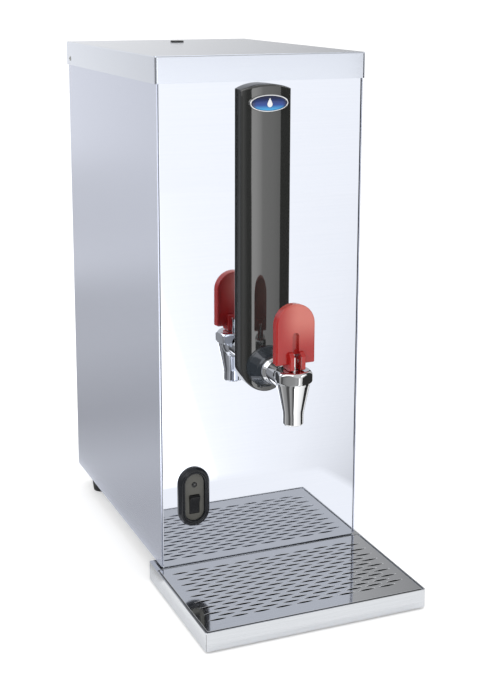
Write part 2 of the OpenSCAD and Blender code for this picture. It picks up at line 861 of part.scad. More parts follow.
module tap_lever() {
    color("firebrick") translate([0, tap_y, pin_z]) difference() {
        union() {
            difference() {
                slab_y(-5, 5) paddle_outline(0);
                slab_y(-2.4, 6) paddle_outline(2.2);
            }
            slab_x(-8.25, 8.25) cam_profile();
        }
        box(-slot_r, slot_r, -20, 20, -20, 6.6);
        rod_x(0, 0, pin_r + 0.05, -8.3, 8.3);
    }
}

// ---- switch ----
module bezel_at(y0, y1) {
    translate([switch_x, 0, switch_z]) slab_y(y0, y1) children();
}

module switch_bezel() {
    color("black") difference() {
        union() {
            bezel_at(front_y - bezel_t + 2, front_y) stadium(bezel_w, bezel_h);
            bezel_at(front_y - bezel_t + 0.8, front_y) stadium(bezel_w - 2, bezel_h - 2);
            bezel_at(front_y - bezel_t, front_y) stadium(bezel_w - 5, bezel_h - 5);
        }
        bezel_at(front_y - bezel_t - 1, front_y - floor_t) stadium(recess_w, recess_h);
        box(switch_x - 5.3, switch_x + 5.3, front_y - 3, front_y + 1, rocker_z - 9.8, rocker_z + 9.8);
        rod_x(rocker_y, rocker_z, axle_r + 0.05, switch_x - 6.8, switch_x + 6.8);
        box(switch_x - 6.8, switch_x + 6.8, rocker_y, front_y + 1, rocker_z - axle_r - 0.05,
            rocker_z + axle_r + 0.05);
        rod_y(switch_x, lamp_z, 2.3, front_y - 3, front_y + 1);
    }
}

module switch_housing() {
    color("black") difference() {
        box(switch_x - 9.6, switch_x + 9.6, front_y, front_y + 26, switch_z - 21.6, switch_z + 21.6);
        box(switch_x - 5.4, switch_x + 5.4, front_y - 1, front_y + 14, rocker_z - 10, rocker_z + 10);
        rod_y(switch_x, lamp_z, 2.5, front_y - 1, front_y + 12);
    }
}

module switch_rocker() {
    c = 1.94;                                      // depth of the rocker's middle line in front of its axle
    ends = rocker_r * tan(rocker_angle);
    color("black") translate([0, rocker_y, rocker_z]) rotate([rocker_angle, 0, 0]) {
        intersection() {
            rod_x(0, 0, rocker_r, switch_x - rocker_w / 2, switch_x + rocker_w / 2);
            slab_x(switch_x - rocker_w / 2, switch_x + rocker_w / 2)
                polygon([[-c, 0], [-c - ends, rocker_r], [7, rocker_r], [7, -rocker_r], [-c - ends, -rocker_r]]);
        }
        rod_x(0, 0, axle_r, switch_x - rocker_w / 2 - 1.4, switch_x + rocker_w / 2 + 1.4);
    }
}

module indicator_lens() {
    color("dimgray") {
        rod_y(switch_x, lamp_z, 2.2, front_y - floor_t, front_y + 6);
        rod_y(switch_x, lamp_z, 2.2, front_y - floor_t - 1.4, front_y - floor_t - 0.6, 2.8);
        rod_y(switch_x, lamp_z, 2.8, front_y - floor_t - 0.6, front_y - floor_t);
    }
}

// ---- drip tray ----
tray_in_w = tray_w / 2 - tray_wall;
ledge_z = tray_top_z - grille_t;
ledge_w = 3.4;
foot_inset = 9;

module tray_pan() {
    x = tray_w / 2;
    y0 = tray_front_y;
    color("silver") difference() {
        slab_z(tray_foot_h, tray_top_z) round_rect(-x, x, y0, tray_back_y, 2.5);
        slab_z(ledge_z, tray_top_z + 1)
            round_rect(-tray_in_w, tray_in_w, y0 + tray_wall, basin_back_y, 2.5 - tray_wall);
        slab_z(ledge_z - 1.2, tray_top_z + 1)
            round_rect(-tray_in_w + ledge_w, tray_in_w - ledge_w, y0 + tray_wall + ledge_w,
                basin_back_y - ledge_w, 2);
        slab_z(tray_foot_h + tray_wall, ledge_z - 1.2)
            round_rect(-tray_in_w, tray_in_w, y0 + tray_wall, basin_back_y, 2.5 - tray_wall);
        box(-tray_in_w, tray_in_w, basin_back_y + tray_wall, tray_back_y - tray_wall, tray_foot_h - 1,
            tray_top_z - tray_wall);
    }
}

module tray_feet() {
    x = tray_w / 2 - foot_inset;
    color("black") for (sx = [-x, x], y = [tray_front_y + foot_inset, basin_back_y - foot_inset])
        rod_z(sx, y, 6, 0, tray_foot_h);
}

// One pointed slot, bounded by two arcs
module slot() {
    r = (slot_len * slot_len + slot_wide * slot_wide) / (4 * slot_wide);
    intersection() {
        translate([0, r - slot_wide / 2]) circle(r, $fn = 180);
        translate([0, slot_wide / 2 - r]) circle(r, $fn = 180);
    }
}

module tray_grille() {
    x = tray_in_w - grille_gap;
    color("silver") difference() {
        slab_z(ledge_z, tray_top_z)
            round_rect(-x, x, tray_front_y + tray_wall + grille_gap, basin_back_y - 0.9, 1.2);
        slab_z(ledge_z - 1, tray_top_z + 1) for (j = [0:slot_rows - 1], i = [0:slot_cols - 1])
            translate([(i - (slot_cols - 1) / 2) * slot_pitch + (j % 2 == 0 ? -1 : 1) * slot_pitch / 4,
                row_back_y - j * row_pitch]) slot();
    }
}

front_panel();
left_side_panel();
right_side_panel();
rear_panel();
rear_panel_screws();
base_plate();
lid();
lid_screws();
lid_vent_plug();
foot_front_left();
foot_front_right();
foot_rear_left();
foot_rear_right();
foot_screws();
foot_nuts();
tank_stand();
tank_shell();
tank_gasket();
tank_lid();
tank_lid_screws();
insulation_jacket();
heating_element();
element_gasket();
level_probe_short();
level_probe_long();
temperature_probe();
overheat_cutout();
inlet_solenoid();
solenoid_coil();
inlet_filter();
inlet_nut();
fill_hose();
overflow_pipe();
control_board();
board_standoffs();
power_relay();
tray_feet();
terminal_block();
cable_gland();
gland_nut();
column_cover();
column_screws();
badge_rim();
badge_lens();
tap_escutcheon();
tap_collar();
tap_body();
tap_nut();
tap_seat_cup();
tap_stem();
tap_spring();
tap_bonnet();
tap_lever_pin();
tap_lever();
switch_bezel();
switch_housing();
switch_rocker();
indicator_lens();
tray_pan();
tray_grille();
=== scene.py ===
"""Looks of a countertop hot-water dispenser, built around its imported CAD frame."""

from __future__ import annotations

import json
import logging
import math
from dataclasses import dataclass
from enum import Enum
from typing import Callable, Sequence

import bmesh
import bpy
from mathutils import Matrix, Vector


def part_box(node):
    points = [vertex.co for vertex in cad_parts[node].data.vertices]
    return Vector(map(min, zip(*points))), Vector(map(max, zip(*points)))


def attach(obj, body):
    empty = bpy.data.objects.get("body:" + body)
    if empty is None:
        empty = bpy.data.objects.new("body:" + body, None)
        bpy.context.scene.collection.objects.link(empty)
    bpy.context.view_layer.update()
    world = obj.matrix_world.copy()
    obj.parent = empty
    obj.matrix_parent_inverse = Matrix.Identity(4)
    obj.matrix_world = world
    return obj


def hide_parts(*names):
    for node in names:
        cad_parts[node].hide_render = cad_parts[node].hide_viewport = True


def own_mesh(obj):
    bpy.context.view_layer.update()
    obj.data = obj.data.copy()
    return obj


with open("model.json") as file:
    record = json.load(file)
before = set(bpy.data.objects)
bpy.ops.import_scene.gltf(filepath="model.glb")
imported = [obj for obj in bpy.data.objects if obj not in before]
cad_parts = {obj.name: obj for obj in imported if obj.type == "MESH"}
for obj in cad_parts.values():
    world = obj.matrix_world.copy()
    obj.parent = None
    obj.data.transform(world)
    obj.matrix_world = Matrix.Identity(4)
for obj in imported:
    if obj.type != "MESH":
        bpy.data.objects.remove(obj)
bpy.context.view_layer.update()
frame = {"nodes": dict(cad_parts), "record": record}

MM = 0.001
Colour = tuple[float, float, float]
Point = tuple[float, float, float]
Outline = list[tuple[float, float]]
log = logging.getLogger("dispenser")


# ---------------------------------------------------------------- frame sizes
def low(node: str) -> Vector:
    """Lowest corner of a CAD node at rest, in metres."""
    return Vector(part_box(node)[0])


def high(node: str) -> Vector:
    """Highest corner of a CAD node at rest, in metres."""
    return Vector(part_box(node)[1])


def middle(node: str) -> Vector:
    """Centre of a CAD node's box at rest, in metres."""
    return (low(node) + high(node)) / 2


def spans(node: str) -> Vector:
    """Sizes of a CAD node's box at rest, in metres."""
    return high(node) - low(node)


# ---------------------------------------------------------------- node groups
class Spread(Enum):
    """Direction in which a grain's streaks run."""

    ALONG_X = (0.02, 1.0, 1.0)
    ALONG_Y = (1.0, 0.02, 1.0)
    ALONG_Z = (1.0, 1.0, 0.02)
    EVEN = (1.0, 1.0, 1.0)


class NodeMaker:
    """Adds nodes and links to one node tree."""

    tree: bpy.types.NodeTree

    def node(self, kind: str, **settings: object) -> bpy.types.Node:
        """Adds a node and sets its attributes.

        Args:
            kind: Blender's node type.
            settings: Attribute names and values.

        Returns:
            The new node.
        """
        made = self.tree.nodes.new(kind)
        for key, value in settings.items():
            setattr(made, key, value)
        return made

    def join(self, source: bpy.types.NodeSocket, target: bpy.types.NodeSocket) -> None:
        """Links two sockets."""
        self.tree.links.new(source, target)

    def maths(self, operation: str, *values: object, clamp: bool = False) -> bpy.types.NodeSocket:
        """Adds a Math node.

        Args:
            operation: Blender's name of the operation.
            values: Its inputs in order, each a socket or a number.
            clamp: Whether the result is held between 0 and 1.

        Returns:
            The result socket.
        """
        made = self.node("ShaderNodeMath", operation=operation, use_clamp=clamp)
        for socket, value in zip(made.inputs, values):
            if isinstance(value, bpy.types.NodeSocket):
                self.join(value, socket)
            else:
                socket.default_value = value
        return made.outputs[0]

    def coordinates(self) -> bpy.types.NodeOutputs:
        """Splits the piece's own coordinates.

        Returns:
            Outputs X, Y and Z, in metres.
        """
        split = self.node("ShaderNodeSeparateXYZ")
        self.join(self.node("ShaderNodeTexCoord").outputs["Object"], split.inputs[0])
        return split.outputs

    def between(self, source: bpy.types.NodeSocket, start: float, stop: float,
                soft: bool = True) -> bpy.types.NodeSocket:
        """Maps the stretch from start to stop onto 0 to 1.

        Args:
            source: The value.
            start: Where the result is 0.
            stop: Where the result is 1.
            soft: Whether it eases in and out.

        Returns:
            The mapped value.
        """
        made = self.node("ShaderNodeMapRange", interpolation_type="SMOOTHSTEP" if soft else "LINEAR")
        made.inputs["From Min"].default_value = start
        made.inputs["From Max"].default_value = stop
        self.join(source, made.inputs["Value"])
        return made.outputs[0]

    def noise(self, scale: bpy.types.NodeSocket, vector: bpy.types.NodeSocket | None = None,
              **settings: float) -> bpy.types.NodeSocket:
        """Adds a Noise texture.

        Args:
            scale: Socket that gives its scale.
            vector: Its coordinates; the piece's own if None.
            settings: Other inputs and their values.

        Returns:
            The noise, about 0 to 1.
        """
        made = self.node("ShaderNodeTexNoise")
        for title, value in settings.items():
            made.inputs[title].default_value = value
        self.join(vector or self.node("ShaderNodeTexCoord").outputs["Object"], made.inputs["Vector"])
        self.join(scale, made.inputs["Scale"])
        return made.outputs["Fac"]


class GroupMaker(NodeMaker):
    """Builds a shader node group with named sockets.

    Args:
        name: Name of the group.
        inputs: Socket name to default value; a tuple makes a vector socket.
        output: Name of its float output.
    """

    def __init__(self, name: str, inputs: dict[str, float | Point], output: str) -> None:
        self.tree = bpy.data.node_groups.new(name, "ShaderNodeTree")
        for title, value in inputs.items():
            kind = "NodeSocketVector" if isinstance(value, tuple) else "NodeSocketFloat"
            socket = self.tree.interface.new_socket(name=title, in_out="INPUT", socket_type=kind)
            socket.default_value = value
        self.tree.interface.new_socket(name=output, in_out="OUTPUT", socket_type="NodeSocketFloat")
        self.given = self.node("NodeGroupInput").outputs
        self.end = self.node("NodeGroupOutput")

    def give(self, result: bpy.types.NodeSocket) -> bpy.types.NodeTree:
        """Links the result to the group's output.

        Args:
            result: The group's value.

        Returns:
            The finished group.
        """
        self.join(result, self.end.inputs[0])
        return self.tree


def make_streaks() -> bpy.types.NodeTree:
    """Brushed streaks or even grain.

    Returns:
        The group; its Value is about 0 to 1 and changes across the streaks.
    """
    inputs = {"Stretch": (1.0, 1.0, 1.0), "Scale": 900.0, "Contrast": 1.0}
    maker = GroupMaker("grain_streaks", inputs, "Value")
    stretch = maker.node("ShaderNodeVectorMath", operation="MULTIPLY")
    maker.join(maker.node("ShaderNodeTexCoord").outputs["Object"], stretch.inputs[0])
    maker.join(maker.given["Stretch"], stretch.inputs[1])
    noise = maker.noise(maker.given["Scale"], stretch.outputs[0], Detail=4.0, Roughness=0.62)
    scaled = maker.maths("MULTIPLY", maker.maths("SUBTRACT", noise, 0.5), maker.given["Contrast"])
    return maker.give(maker.maths("ADD", scaled, 0.5, clamp=True))


def make_smudges() -> bpy.types.NodeTree:
    """Large soft patches, as handling and drying leave them.

    Returns:
        The group; its Mask is 0 on clean metal and 1 in a patch.
    """
    maker = GroupMaker("soft_smudges", {"Scale": 14.0, "Cover": 0.5}, "Mask")
    broad = maker.noise(maker.given["Scale"], Detail=5.0, Distortion=0.6)
    lifted = maker.maths("SUBTRACT", broad, maker.maths("SUBTRACT", 1.0, maker.given["Cover"]))
    return maker.give(maker.maths("MULTIPLY", lifted, 3.0, clamp=True))


def make_edge_wear() -> bpy.types.NodeTree:
    """Wear on convex edges, broken up by noise.

    Returns:
        The group; its Mask is 1 where an edge is rubbed.
    """
    maker = GroupMaker("edge_wear", {"Amount": 0.4, "Scale": 220.0}, "Mask")
    pointed = maker.node("ShaderNodeNewGeometry").outputs["Pointiness"]
    edge = maker.maths("MULTIPLY", maker.maths("SUBTRACT", pointed, 0.52), 9.0, clamp=True)
    broken = maker.maths("MULTIPLY", edge, maker.noise(maker.given["Scale"]))
    return maker.give(maker.maths("MULTIPLY", broken, maker.given["Amount"], clamp=True))


def make_dust() -> bpy.types.NodeTree:
    """Fine dust that settles on faces that look up.

    Returns:
        The group; its Mask is the share of dust.
    """
    maker = GroupMaker("settled_dust", {"Amount": 0.15, "Scale": 600.0}, "Mask")
    split = maker.node("ShaderNodeSeparateXYZ")
    maker.join(maker.node("ShaderNodeNewGeometry").outputs["Normal"], split.inputs[0])
    upward = maker.maths("MULTIPLY", split.outputs["Z"], 1.0, clamp=True)
    specks = maker.noise(maker.given["Scale"], Detail=3.0)
    fine = maker.maths("MULTIPLY", maker.maths("SUBTRACT", specks, 0.42), 4.0, clamp=True)
    return maker.give(maker.maths("MULTIPLY", maker.maths("MULTIPLY", upward, fine), maker.given["Amount"]))


class Effects:
    """The shared effect groups, each built once."""

    streaks: bpy.types.NodeTree
    smudges: bpy.types.NodeTree
    wear: bpy.types.NodeTree
    dust: bpy.types.NodeTree

    @classmethod
    def build(cls) -> None:
        """Builds the four groups."""
        cls.streaks = make_streaks()
        cls.smudges = make_smudges()
        cls.wear = make_edge_wear()
        cls.dust = make_dust()


# ---------------------------------------------------------------- finishes
class Shader(NodeMaker):
    """A material being built: its tree, its Principled node and the usual links.

    Args:
        name: Name of the material.
        metallic: The shader's Metallic.
        roughness: The shader's Roughness where nothing changes it.
    """

    def __init__(self, name: str, metallic: float, roughness: float) -> None:
        self.material = bpy.data.materials.new(name)
        self.material.use_nodes = True
        self.tree = self.material.node_tree
        self.surface = self.tree.nodes["Principled BSDF"]
        self.surface.inputs["Metallic"].default_value = metallic
        self.surface.inputs["Roughness"].default_value = roughness

    def place(self, group: bpy.types.NodeTree, **values: object) -> bpy.types.NodeSocket:
        """Puts an effect group in the material.

        Args:
            group: The shared group.
            values: Input names and values.

        Returns:
            The group's first output.
        """
        made = self.node("ShaderNodeGroup", node_tree=group)
        for title, value in values.items():
            made.inputs[title].default_value = value
        return made.outputs[0]

    def ramp(self, source: bpy.types.NodeSocket, bottom: float, top: float) -> bpy.types.NodeSocket:
        """Maps a 0 to 1 value onto bottom to top.

        Args:
            source: The value.
            bottom: Result at 0.
            top: Result at 1.

        Returns:
            The mapped value.
        """
        made = self.node("ShaderNodeMapRange")
        made.inputs["To Min"].default_value = bottom
        made.inputs["To Max"].default_value = top
        self.join(source, made.inputs["Value"])
        return made.outputs[0]

    def blend(self, mask: bpy.types.NodeSocket, first: object, second: object) -> bpy.types.NodeSocket:
        """Mixes two colours by a mask.

        Args:
            mask: 0 gives the first colour, 1 the second.
            first: A colour or a colour socket.
            second: A colour or a colour socket.

        Returns:
            The mixed colour.
        """
        made = self.node("ShaderNodeMix", data_type="RGBA")
        self.join(mask, made.inputs["Factor"])
        for socket, value in ((made.inputs[6], first), (made.inputs[7], second)):
            if isinstance(value, bpy.types.NodeSocket):
                self.join(value, socket)
            else:
                socket.default_value = (*value, 1.0)
        return made.outputs[2]

    def feed(self, source: bpy.types.NodeSocket, target: str) -> None:
        """Links a socket to an input of the Principled node."""
        self.join(source, self.surface.inputs[target])

    def bump(self, height: bpy.types.NodeSocket, depth: float) -> None:
        """Feeds a height through a Bump node to the shader's Normal.

        Args:
            height: The height, 0 to 1.
            depth: What a height of 1 stands for, in metres.
        """
        made = self.node("ShaderNodeBump")
        made.inputs["Distance"].default_value = depth
        made.inputs["Strength"].default_value = 1.0
        self.join(height, made.inputs["Height"])
        self.feed(made.outputs[0], "Normal")


@dataclass(frozen=True)
class Steel:
    """A bare steel or plated finish."""

    name: str
    light: Colour
    dark: Colour
    roughness: tuple[float, float]
    grain: Spread = Spread.EVEN
    grain_scale: float = 900.0
    grain_depth: float = 0.000004
    smudge: float = 0.35
    dust: float = 0.0

    def build(self) -> bpy.types.Material:
        """Builds the material.

        Returns:
            The metal, with grain, smudges, edge wear and dust.
        """
        shader = Shader(self.name, 1.0, self.roughness[0])
        grain = shader.place(Effects.streaks, Stretch=self.grain.value, Scale=self.grain_scale, Contrast=1.6)
        smudge = shader.place(Effects.smudges, Cover=self.smudge, Scale=11.0)
        wear = shader.place(Effects.wear, Amount=0.5)
        dust = shader.place(Effects.dust, Amount=self.dust)
        colour = shader.blend(grain, self.dark, self.light)
        colour = shader.blend(smudge, colour, tuple(0.5 * (a + b) for a, b in zip(self.dark, self.light)))
        colour = shader.blend(wear, colour, tuple(min(1.0, c * 1.08) for c in self.light))
        colour = shader.blend(dust, colour, (0.52, 0.51, 0.49))
        shader.feed(self.tint(shader, colour), "Base Color")
        mixed = shader.maths("MULTIPLY_ADD", grain, 0.6, shader.maths("MULTIPLY", smudge, 0.4))
        shader.feed(shader.ramp(mixed, *self.roughness), "Roughness")
        shader.bump(grain, self.grain_depth)
        return shader.material

    def tint(self, shader: Shader, colour: bpy.types.NodeSocket) -> bpy.types.NodeSocket:
        """Leaves the steel's colour as it is; a kind of steel with stains changes it."""
        return colour


@dataclass(frozen=True)
class Plastic:
    """A moulded plastic, rubber, felt or resin finish."""

    name: str
    base: Colour
    worn: Colour
    roughness: tuple[float, float]
    texture_scale: float = 1400.0
    texture_depth: float = 0.00001
    coat: float = 0.0
    subsurface: float = 0.0
    wear: float = 0.35
    dust: float = 0.05
    mottle: float = 0.08
    ior: float = 1.5

    def build(self) -> bpy.types.Material:
        """Builds the material.

        Returns:
            The plastic, with moulded texture, mottling, rubbed edges and dust.
        """
        shader = Shader(self.name, 0.0, self.roughness[0])
        shader.surface.inputs["Coat Weight"].default_value = self.coat
        shader.surface.inputs["Coat Roughness"].default_value = 0.06
        shader.surface.inputs["IOR"].default_value = self.ior
        shader.surface.inputs["Subsurface Weight"].default_value = self.subsurface
        shader.surface.inputs["Subsurface Scale"].default_value = 0.004
        texture = shader.place(Effects.streaks, Scale=self.texture_scale, Contrast=1.4)
        smudge = shader.place(Effects.smudges, Scale=23.0, Cover=0.45)
        wear = shader.place(Effects.wear, Amount=self.wear)
        dust = shader.place(Effects.dust, Amount=self.dust)
        deeper = tuple(c * (1 - self.mottle) for c in self.base)
        colour = shader.blend(texture, deeper, self.base)
        colour = shader.blend(wear, colour, self.worn)
        colour = shader.blend(dust, colour, (0.5, 0.49, 0.47))
        shader.feed(self.tint(shader, colour), "Base Color")
        shader.feed(shader.ramp(smudge, *self.roughness), "Roughness")
        shader.bump(texture, self.texture_depth)
        return shader.material

    def tint(self, shader: Shader, colour: bpy.types.NodeSocket) -> bpy.types.NodeSocket:
        """Leaves the plastic's colour as it is; a kind of plastic with its own shading changes it."""
        return colour


# ---------------------------------------------------------------- mesh work
def fillet(path: Sequence[tuple[float, float, float]], closed: bool = False, steps: int = 5) -> Outline:
    """Rounds the corners of an outline.

    Args:
        path: Corners as (a, b, radius of the rounding).
        closed: Whether the last corner joins the first.
        steps: Segments of each rounding.

    Returns:
        The outline's points.
    """
    points: Outline = []
    count = len(path)
    for i, (a, b, radius) in enumerate(path):
        here = Vector((a, b))
        if radius <= 0 or (not closed and i in (0, count - 1)):
            points.append((a, b))
            continue
        back = Vector(path[i - 1][:2]) - here
        ahead = Vector(path[(i + 1) % count][:2]) - here
        half = back.angle(ahead) / 2
        reach = min(radius / math.tan(half), 0.49 * back.length, 0.49 * ahead.length)
        true_radius = reach * math.tan(half)
        start = here + back.normalized() * reach
        stop = here + ahead.normalized() * reach
        centre = here + (back.normalized() + ahead.normalized()).normalized() * (true_radius / math.sin(half))
        from_centre = start - centre
        to_centre = stop - centre
        turn = from_centre.angle_signed(to_centre)
        for k in range(steps + 1):
            spun = from_centre.copy()
            spun.rotate(Matrix.Rotation(-turn * k / steps, 2))
            points.append((centre.x + spun.x, centre.y + spun.y))
    return points


def loft(rings: Sequence[Sequence[Vector]], loop: bool = False) -> bmesh.types.BMesh:
    """Skins rings of equal point counts.

    Args:
        rings: The rings in order; the first and the last are closed with a face.
        loop: Whether the last ring joins the first, as on a hoop.

    Returns:
        The mesh.
    """
    bm = bmesh.new()
    rows = [[bm.verts.new(p) for p in ring] for ring in rings]
    count = len(rows[0])
    pairs = list(zip(rows, rows[1:])) + ([(rows[-1], rows[0])] if loop else [])
    for lower, upper in pairs:
        for i in range(count):
            j = (i + 1) % count
            bm.faces.new((lower[i], lower[j], upper[j], upper[i]))
    if not loop:
        bm.faces.new(rows[0][::-1])
        bm.faces.new(rows[-1])
    bmesh.ops.remove_doubles(bm, verts=bm.verts, dist=1e-7)
    bmesh.ops.recalc_face_normals(bm, faces=bm.faces)
    return bm


class Axis(Enum):
    """Axis that a turned piece is made about."""

    X = "x"
    Y = "y"
    Z = "z"


def on_axis(axis: Axis, centre: Point, along: float, radius: float, angle: float) -> Vector:
    """A point on a circle about an axis.

    Args:
        axis: The axis.
        centre: A point on the axis; its part along the axis is not used.
        along: Place along the axis.
        radius: Radius.
        angle: Angle in radians.

    Returns:
        The point.
    """
    c, s = radius * math.cos(angle), radius * math.sin(angle)
    if axis is Axis.X:
        return Vector((along, centre[1] + c, centre[2] + s))
    if axis is Axis.Y:
        return Vector((centre[0] + c, along, centre[2] + s))
    return Vector((centre[0] + c, centre[1] + s, along))


def turned(axis: Axis, centre: Point, profile: Outline, count: int = 96,
           hoop: bool = False) -> bmesh.types.BMesh:
    """Turns a profile about an axis.

    Args:
        axis: The axis.
        centre: A point on the axis.
        profile: (radius, place along the axis) in metres.
        count: Points round the axis.
        hoop: Whether the profile is a closed outline, so that the piece has a hole.

    Returns:
        The mesh.
    """
    rings = [
        [on_axis(axis, centre, t, max(r, 1e-6), math.tau * i / count) for i in range(count)]
        for r, t in profile
    ]
    return loft(rings, loop=hoop)


def rod(axis: Axis, centre: Point, radius: float, start: float, stop: float,
        count: int = 48) -> bmesh.types.BMesh:
    """A plain round rod, used to bore holes.

    Args:
        axis: Its axis.
        centre: A point on the axis.
        radius: Its radius.
        start: First end along the axis.
        stop: Last end along the axis.
        count: Points round the axis.

    Returns:
        The mesh.
    """
    return turned(axis, centre, [(0.0, start), (radius, start), (radius, stop), (0.0, stop)], count=count)


def prism(outline: Outline, axis: Axis, start: float, stop: float, edge: float = 0.0) -> bmesh.types.BMesh:
    """Extrudes an outline along an axis and rounds the rims of its two ends.

    Args:
        outline: Points; (y, z) along X, (x, z) along Y and (x, y) along Z.
        axis: Direction of the extrusion.
        start: First place along the axis.
        stop: Last place along the axis.
        edge: Radius of the rims.

    Returns:
        The mesh.
    """
    def put(a: float, b: float, t: float) -> Vector:
        """A point of the outline at a place along the axis."""
        return {Axis.X: Vector((t, a, b)), Axis.Y: Vector((a, t, b)), Axis.Z: Vector((a, b, t))}[axis]

    bm = loft([[put(a, b, t) for a, b in outline] for t in (start, stop)])
    if edge > 0:
        rims = [e for e in bm.edges if len(e.link_faces) == 2 and max(len(f.verts) for f in e.link_faces) > 4]
        bmesh.ops.bevel(bm, geom=rims, offset=edge, segments=3, profile=0.5, affect="EDGES",
                        clamp_overlap=True)
    return bm


def to_object(name: str, bm: bmesh.types.BMesh) -> bpy.types.Object:
    """Turns a mesh into an object of the scene.

    Args:
        name: Name of the object and its mesh.
        bm: The mesh, which is used up.

    Returns:
        The object.
    """
    data = bpy.data.meshes.new(name)
    bm.to_mesh(data)
    bm.free()
    made = bpy.data.objects.new(name, data)
    bpy.context.scene.collection.objects.link(made)
    return made


def boolean(first: bmesh.types.BMesh, second: bmesh.types.BMesh, operation: str) -> bmesh.types.BMesh:
    """Joins or cuts two closed meshes.

    Args:
        first: The mesh that is kept.
        second: The tool.
        operation: UNION, DIFFERENCE or INTERSECT.

    Returns:
        The result.
    """
    objects = []
    for bm in (first, second):
        bmesh.ops.recalc_face_normals(bm, faces=bm.faces)
        objects.append(to_object("work", bm))
    cutter = objects[0].modifiers.new("cut", "BOOLEAN")
    cutter.operation = operation
    cutter.solver = "EXACT"
    cutter.object = objects[1]
    bpy.context.view_layer.update()
    result = bmesh.new()
    result.from_object(objects[0], bpy.context.evaluated_depsgraph_get())
    for made in objects:
        data = made.data
        bpy.data.objects.remove(made)
        bpy.data.meshes.remove(data)
    bmesh.ops.remove_doubles(result, verts=result.verts, dist=1e-6)
    return result


def soften(bm: bmesh.types.BMesh, radius: float, angle: float = 30.0, segments: int = 2,
           chosen: Callable[[bmesh.types.BMEdge], bool] | None = None,
           clamp: bool = True) -> bmesh.types.BMesh:
    """Rounds a mesh's sharp edges.

    Args:
        bm: The mesh.
        radius: Radius in metres.
        angle: Edges turning more than this many degrees are rounded.
        segments: Segments of each rounding.
        chosen: Picks among the sharp edges; all of them if None.
        clamp: Whether roundings stop before they overlap.

    Returns:
        The same mesh.
    """
    limit = math.radians(angle)
    sharp = [e for e in bm.edges if len(e.link_faces) == 2 and e.calc_face_angle(0.0) > limit]
    if chosen is not None:
        sharp = [e for e in sharp if chosen(e)]
    if sharp:
        bmesh.ops.bevel(bm, geom=sharp, offset=radius, segments=segments, profile=0.5, affect="EDGES",
                        clamp_overlap=clamp)
    return bm


def from_cad(node: str) -> bmesh.types.BMesh:
    """A clean copy of a CAD node's mesh, its flat faces joined.

    Args:
        node: The CAD node.

    Returns:
        The copy.
    """
    bm = bmesh.new()
    bm.from_mesh(frame["nodes"][node].data)
    bm.transform(frame["nodes"][node].matrix_world)
    bmesh.ops.remove_doubles(bm, verts=bm.verts, dist=2e-6)
    bmesh.ops.dissolve_limit(bm, angle_limit=math.radians(0.4), verts=bm.verts, edges=bm.edges)
    return bm


class Workshop:
    """Turns meshes into pieces and keeps the finishes and the count.

    Args:
        finishes: Material by the record's slot name.
    """

    def __init__(self, finishes: dict[str, bpy.types.Material]) -> None:
        self.finishes = finishes
        self.slot_of = {entry["node"]: entry["material_slot"] for entry in frame["record"]["subparts"]}
        self.body_of = {
            node: body for body, nodes in frame["record"]["behaviour"]["bodies"].items() for node in nodes
        }
        self.replaced: set[str] = set()

    def piece(self, name: str, bm: bmesh.types.BMesh, node: str, stands_for: bool = True, sharp: float = 38.0,
              slot: str | None = None, weighted: bool = True, finish: str | None = None) -> bpy.types.Object:
        """Makes a piece that rides with a CAD node's body.

        Args:
            name: Name of the piece.
            bm: Its mesh, which is used up.
            node: The CAD node that it belongs to.
            stands_for: Whether it replaces that node.
            sharp: Edges turning more than this many degrees stay sharp.
            slot: Material slot, if it isn't the node's.
            weighted: Whether large faces lead the shading.
            finish: Finish, if it isn't the slot's.

        Returns:
            The piece.
        """
        made = to_object(name, bm)
        data = made.data
        data.shade_smooth()
        data.set_sharp_from_angle(angle=math.radians(sharp))
        slot = slot or self.slot_of[node]
        data.materials.append(self.finishes[finish or slot])
        if weighted:
            shading = made.modifiers.new("weighted_normals", "WEIGHTED_NORMAL")
            shading.keep_sharp = True
            shading.weight = 60
        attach(made, self.body_of[node])
        if stands_for:
            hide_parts(node)
            self.replaced.add(node)
        faces = len(data.polygons)
        log.info("piece %s rides on %s, finish %s, %d faces", name, self.body_of[node], slot, faces)
        return made

    def dressed(self, node: str, radius: float, segments: int = 2, **options: object) -> bpy.types.Object:
        """Makes a piece from a CAD node's own shape with its edges rounded.

        Args:
            node: The CAD node.
            radius: Radius of its edges, in metres.
            segments: Segments of each rounding.
            options: Passed on to soften.

        Returns:
            The piece.
        """
        return self.piece(f"{node}_skin", soften(from_cad(node), radius, segments=segments, **options), node)

    def finish_rest(self) -> None:
        """Gives every CAD node that still shows the finish of its slot."""
        for node, made in frame["nodes"].items():
            if node in self.replaced:
                continue
            material = self.finishes[self.slot_of[node]]
            if not made.material_slots:
                made.data.materials.append(material)
            for place in made.material_slots:
                place.material = material
            log.info("frame node %s keeps its shape, finish %s", node, self.slot_of[node])


# ---------------------------------------------------------------- sub-assemblies
def rounded_box_outline(x0: float, x1: float, y0: float, y1: float, radius: float, steps: int = 5) -> Outline:
    """A rectangle with rounded corners.

    Args:
        x0: Left.
        x1: Right.
        y0: Bottom.
        y1: Top.
        radius: Radius of the corners.
        steps: Segments of each corner.

    Returns:
        The outline's points.
    """
    corners = [(x0, y0, radius), (x1, y0, radius), (x1, y1, radius), (x0, y1, radius)]
    return fillet(corners, closed=True, steps=steps)


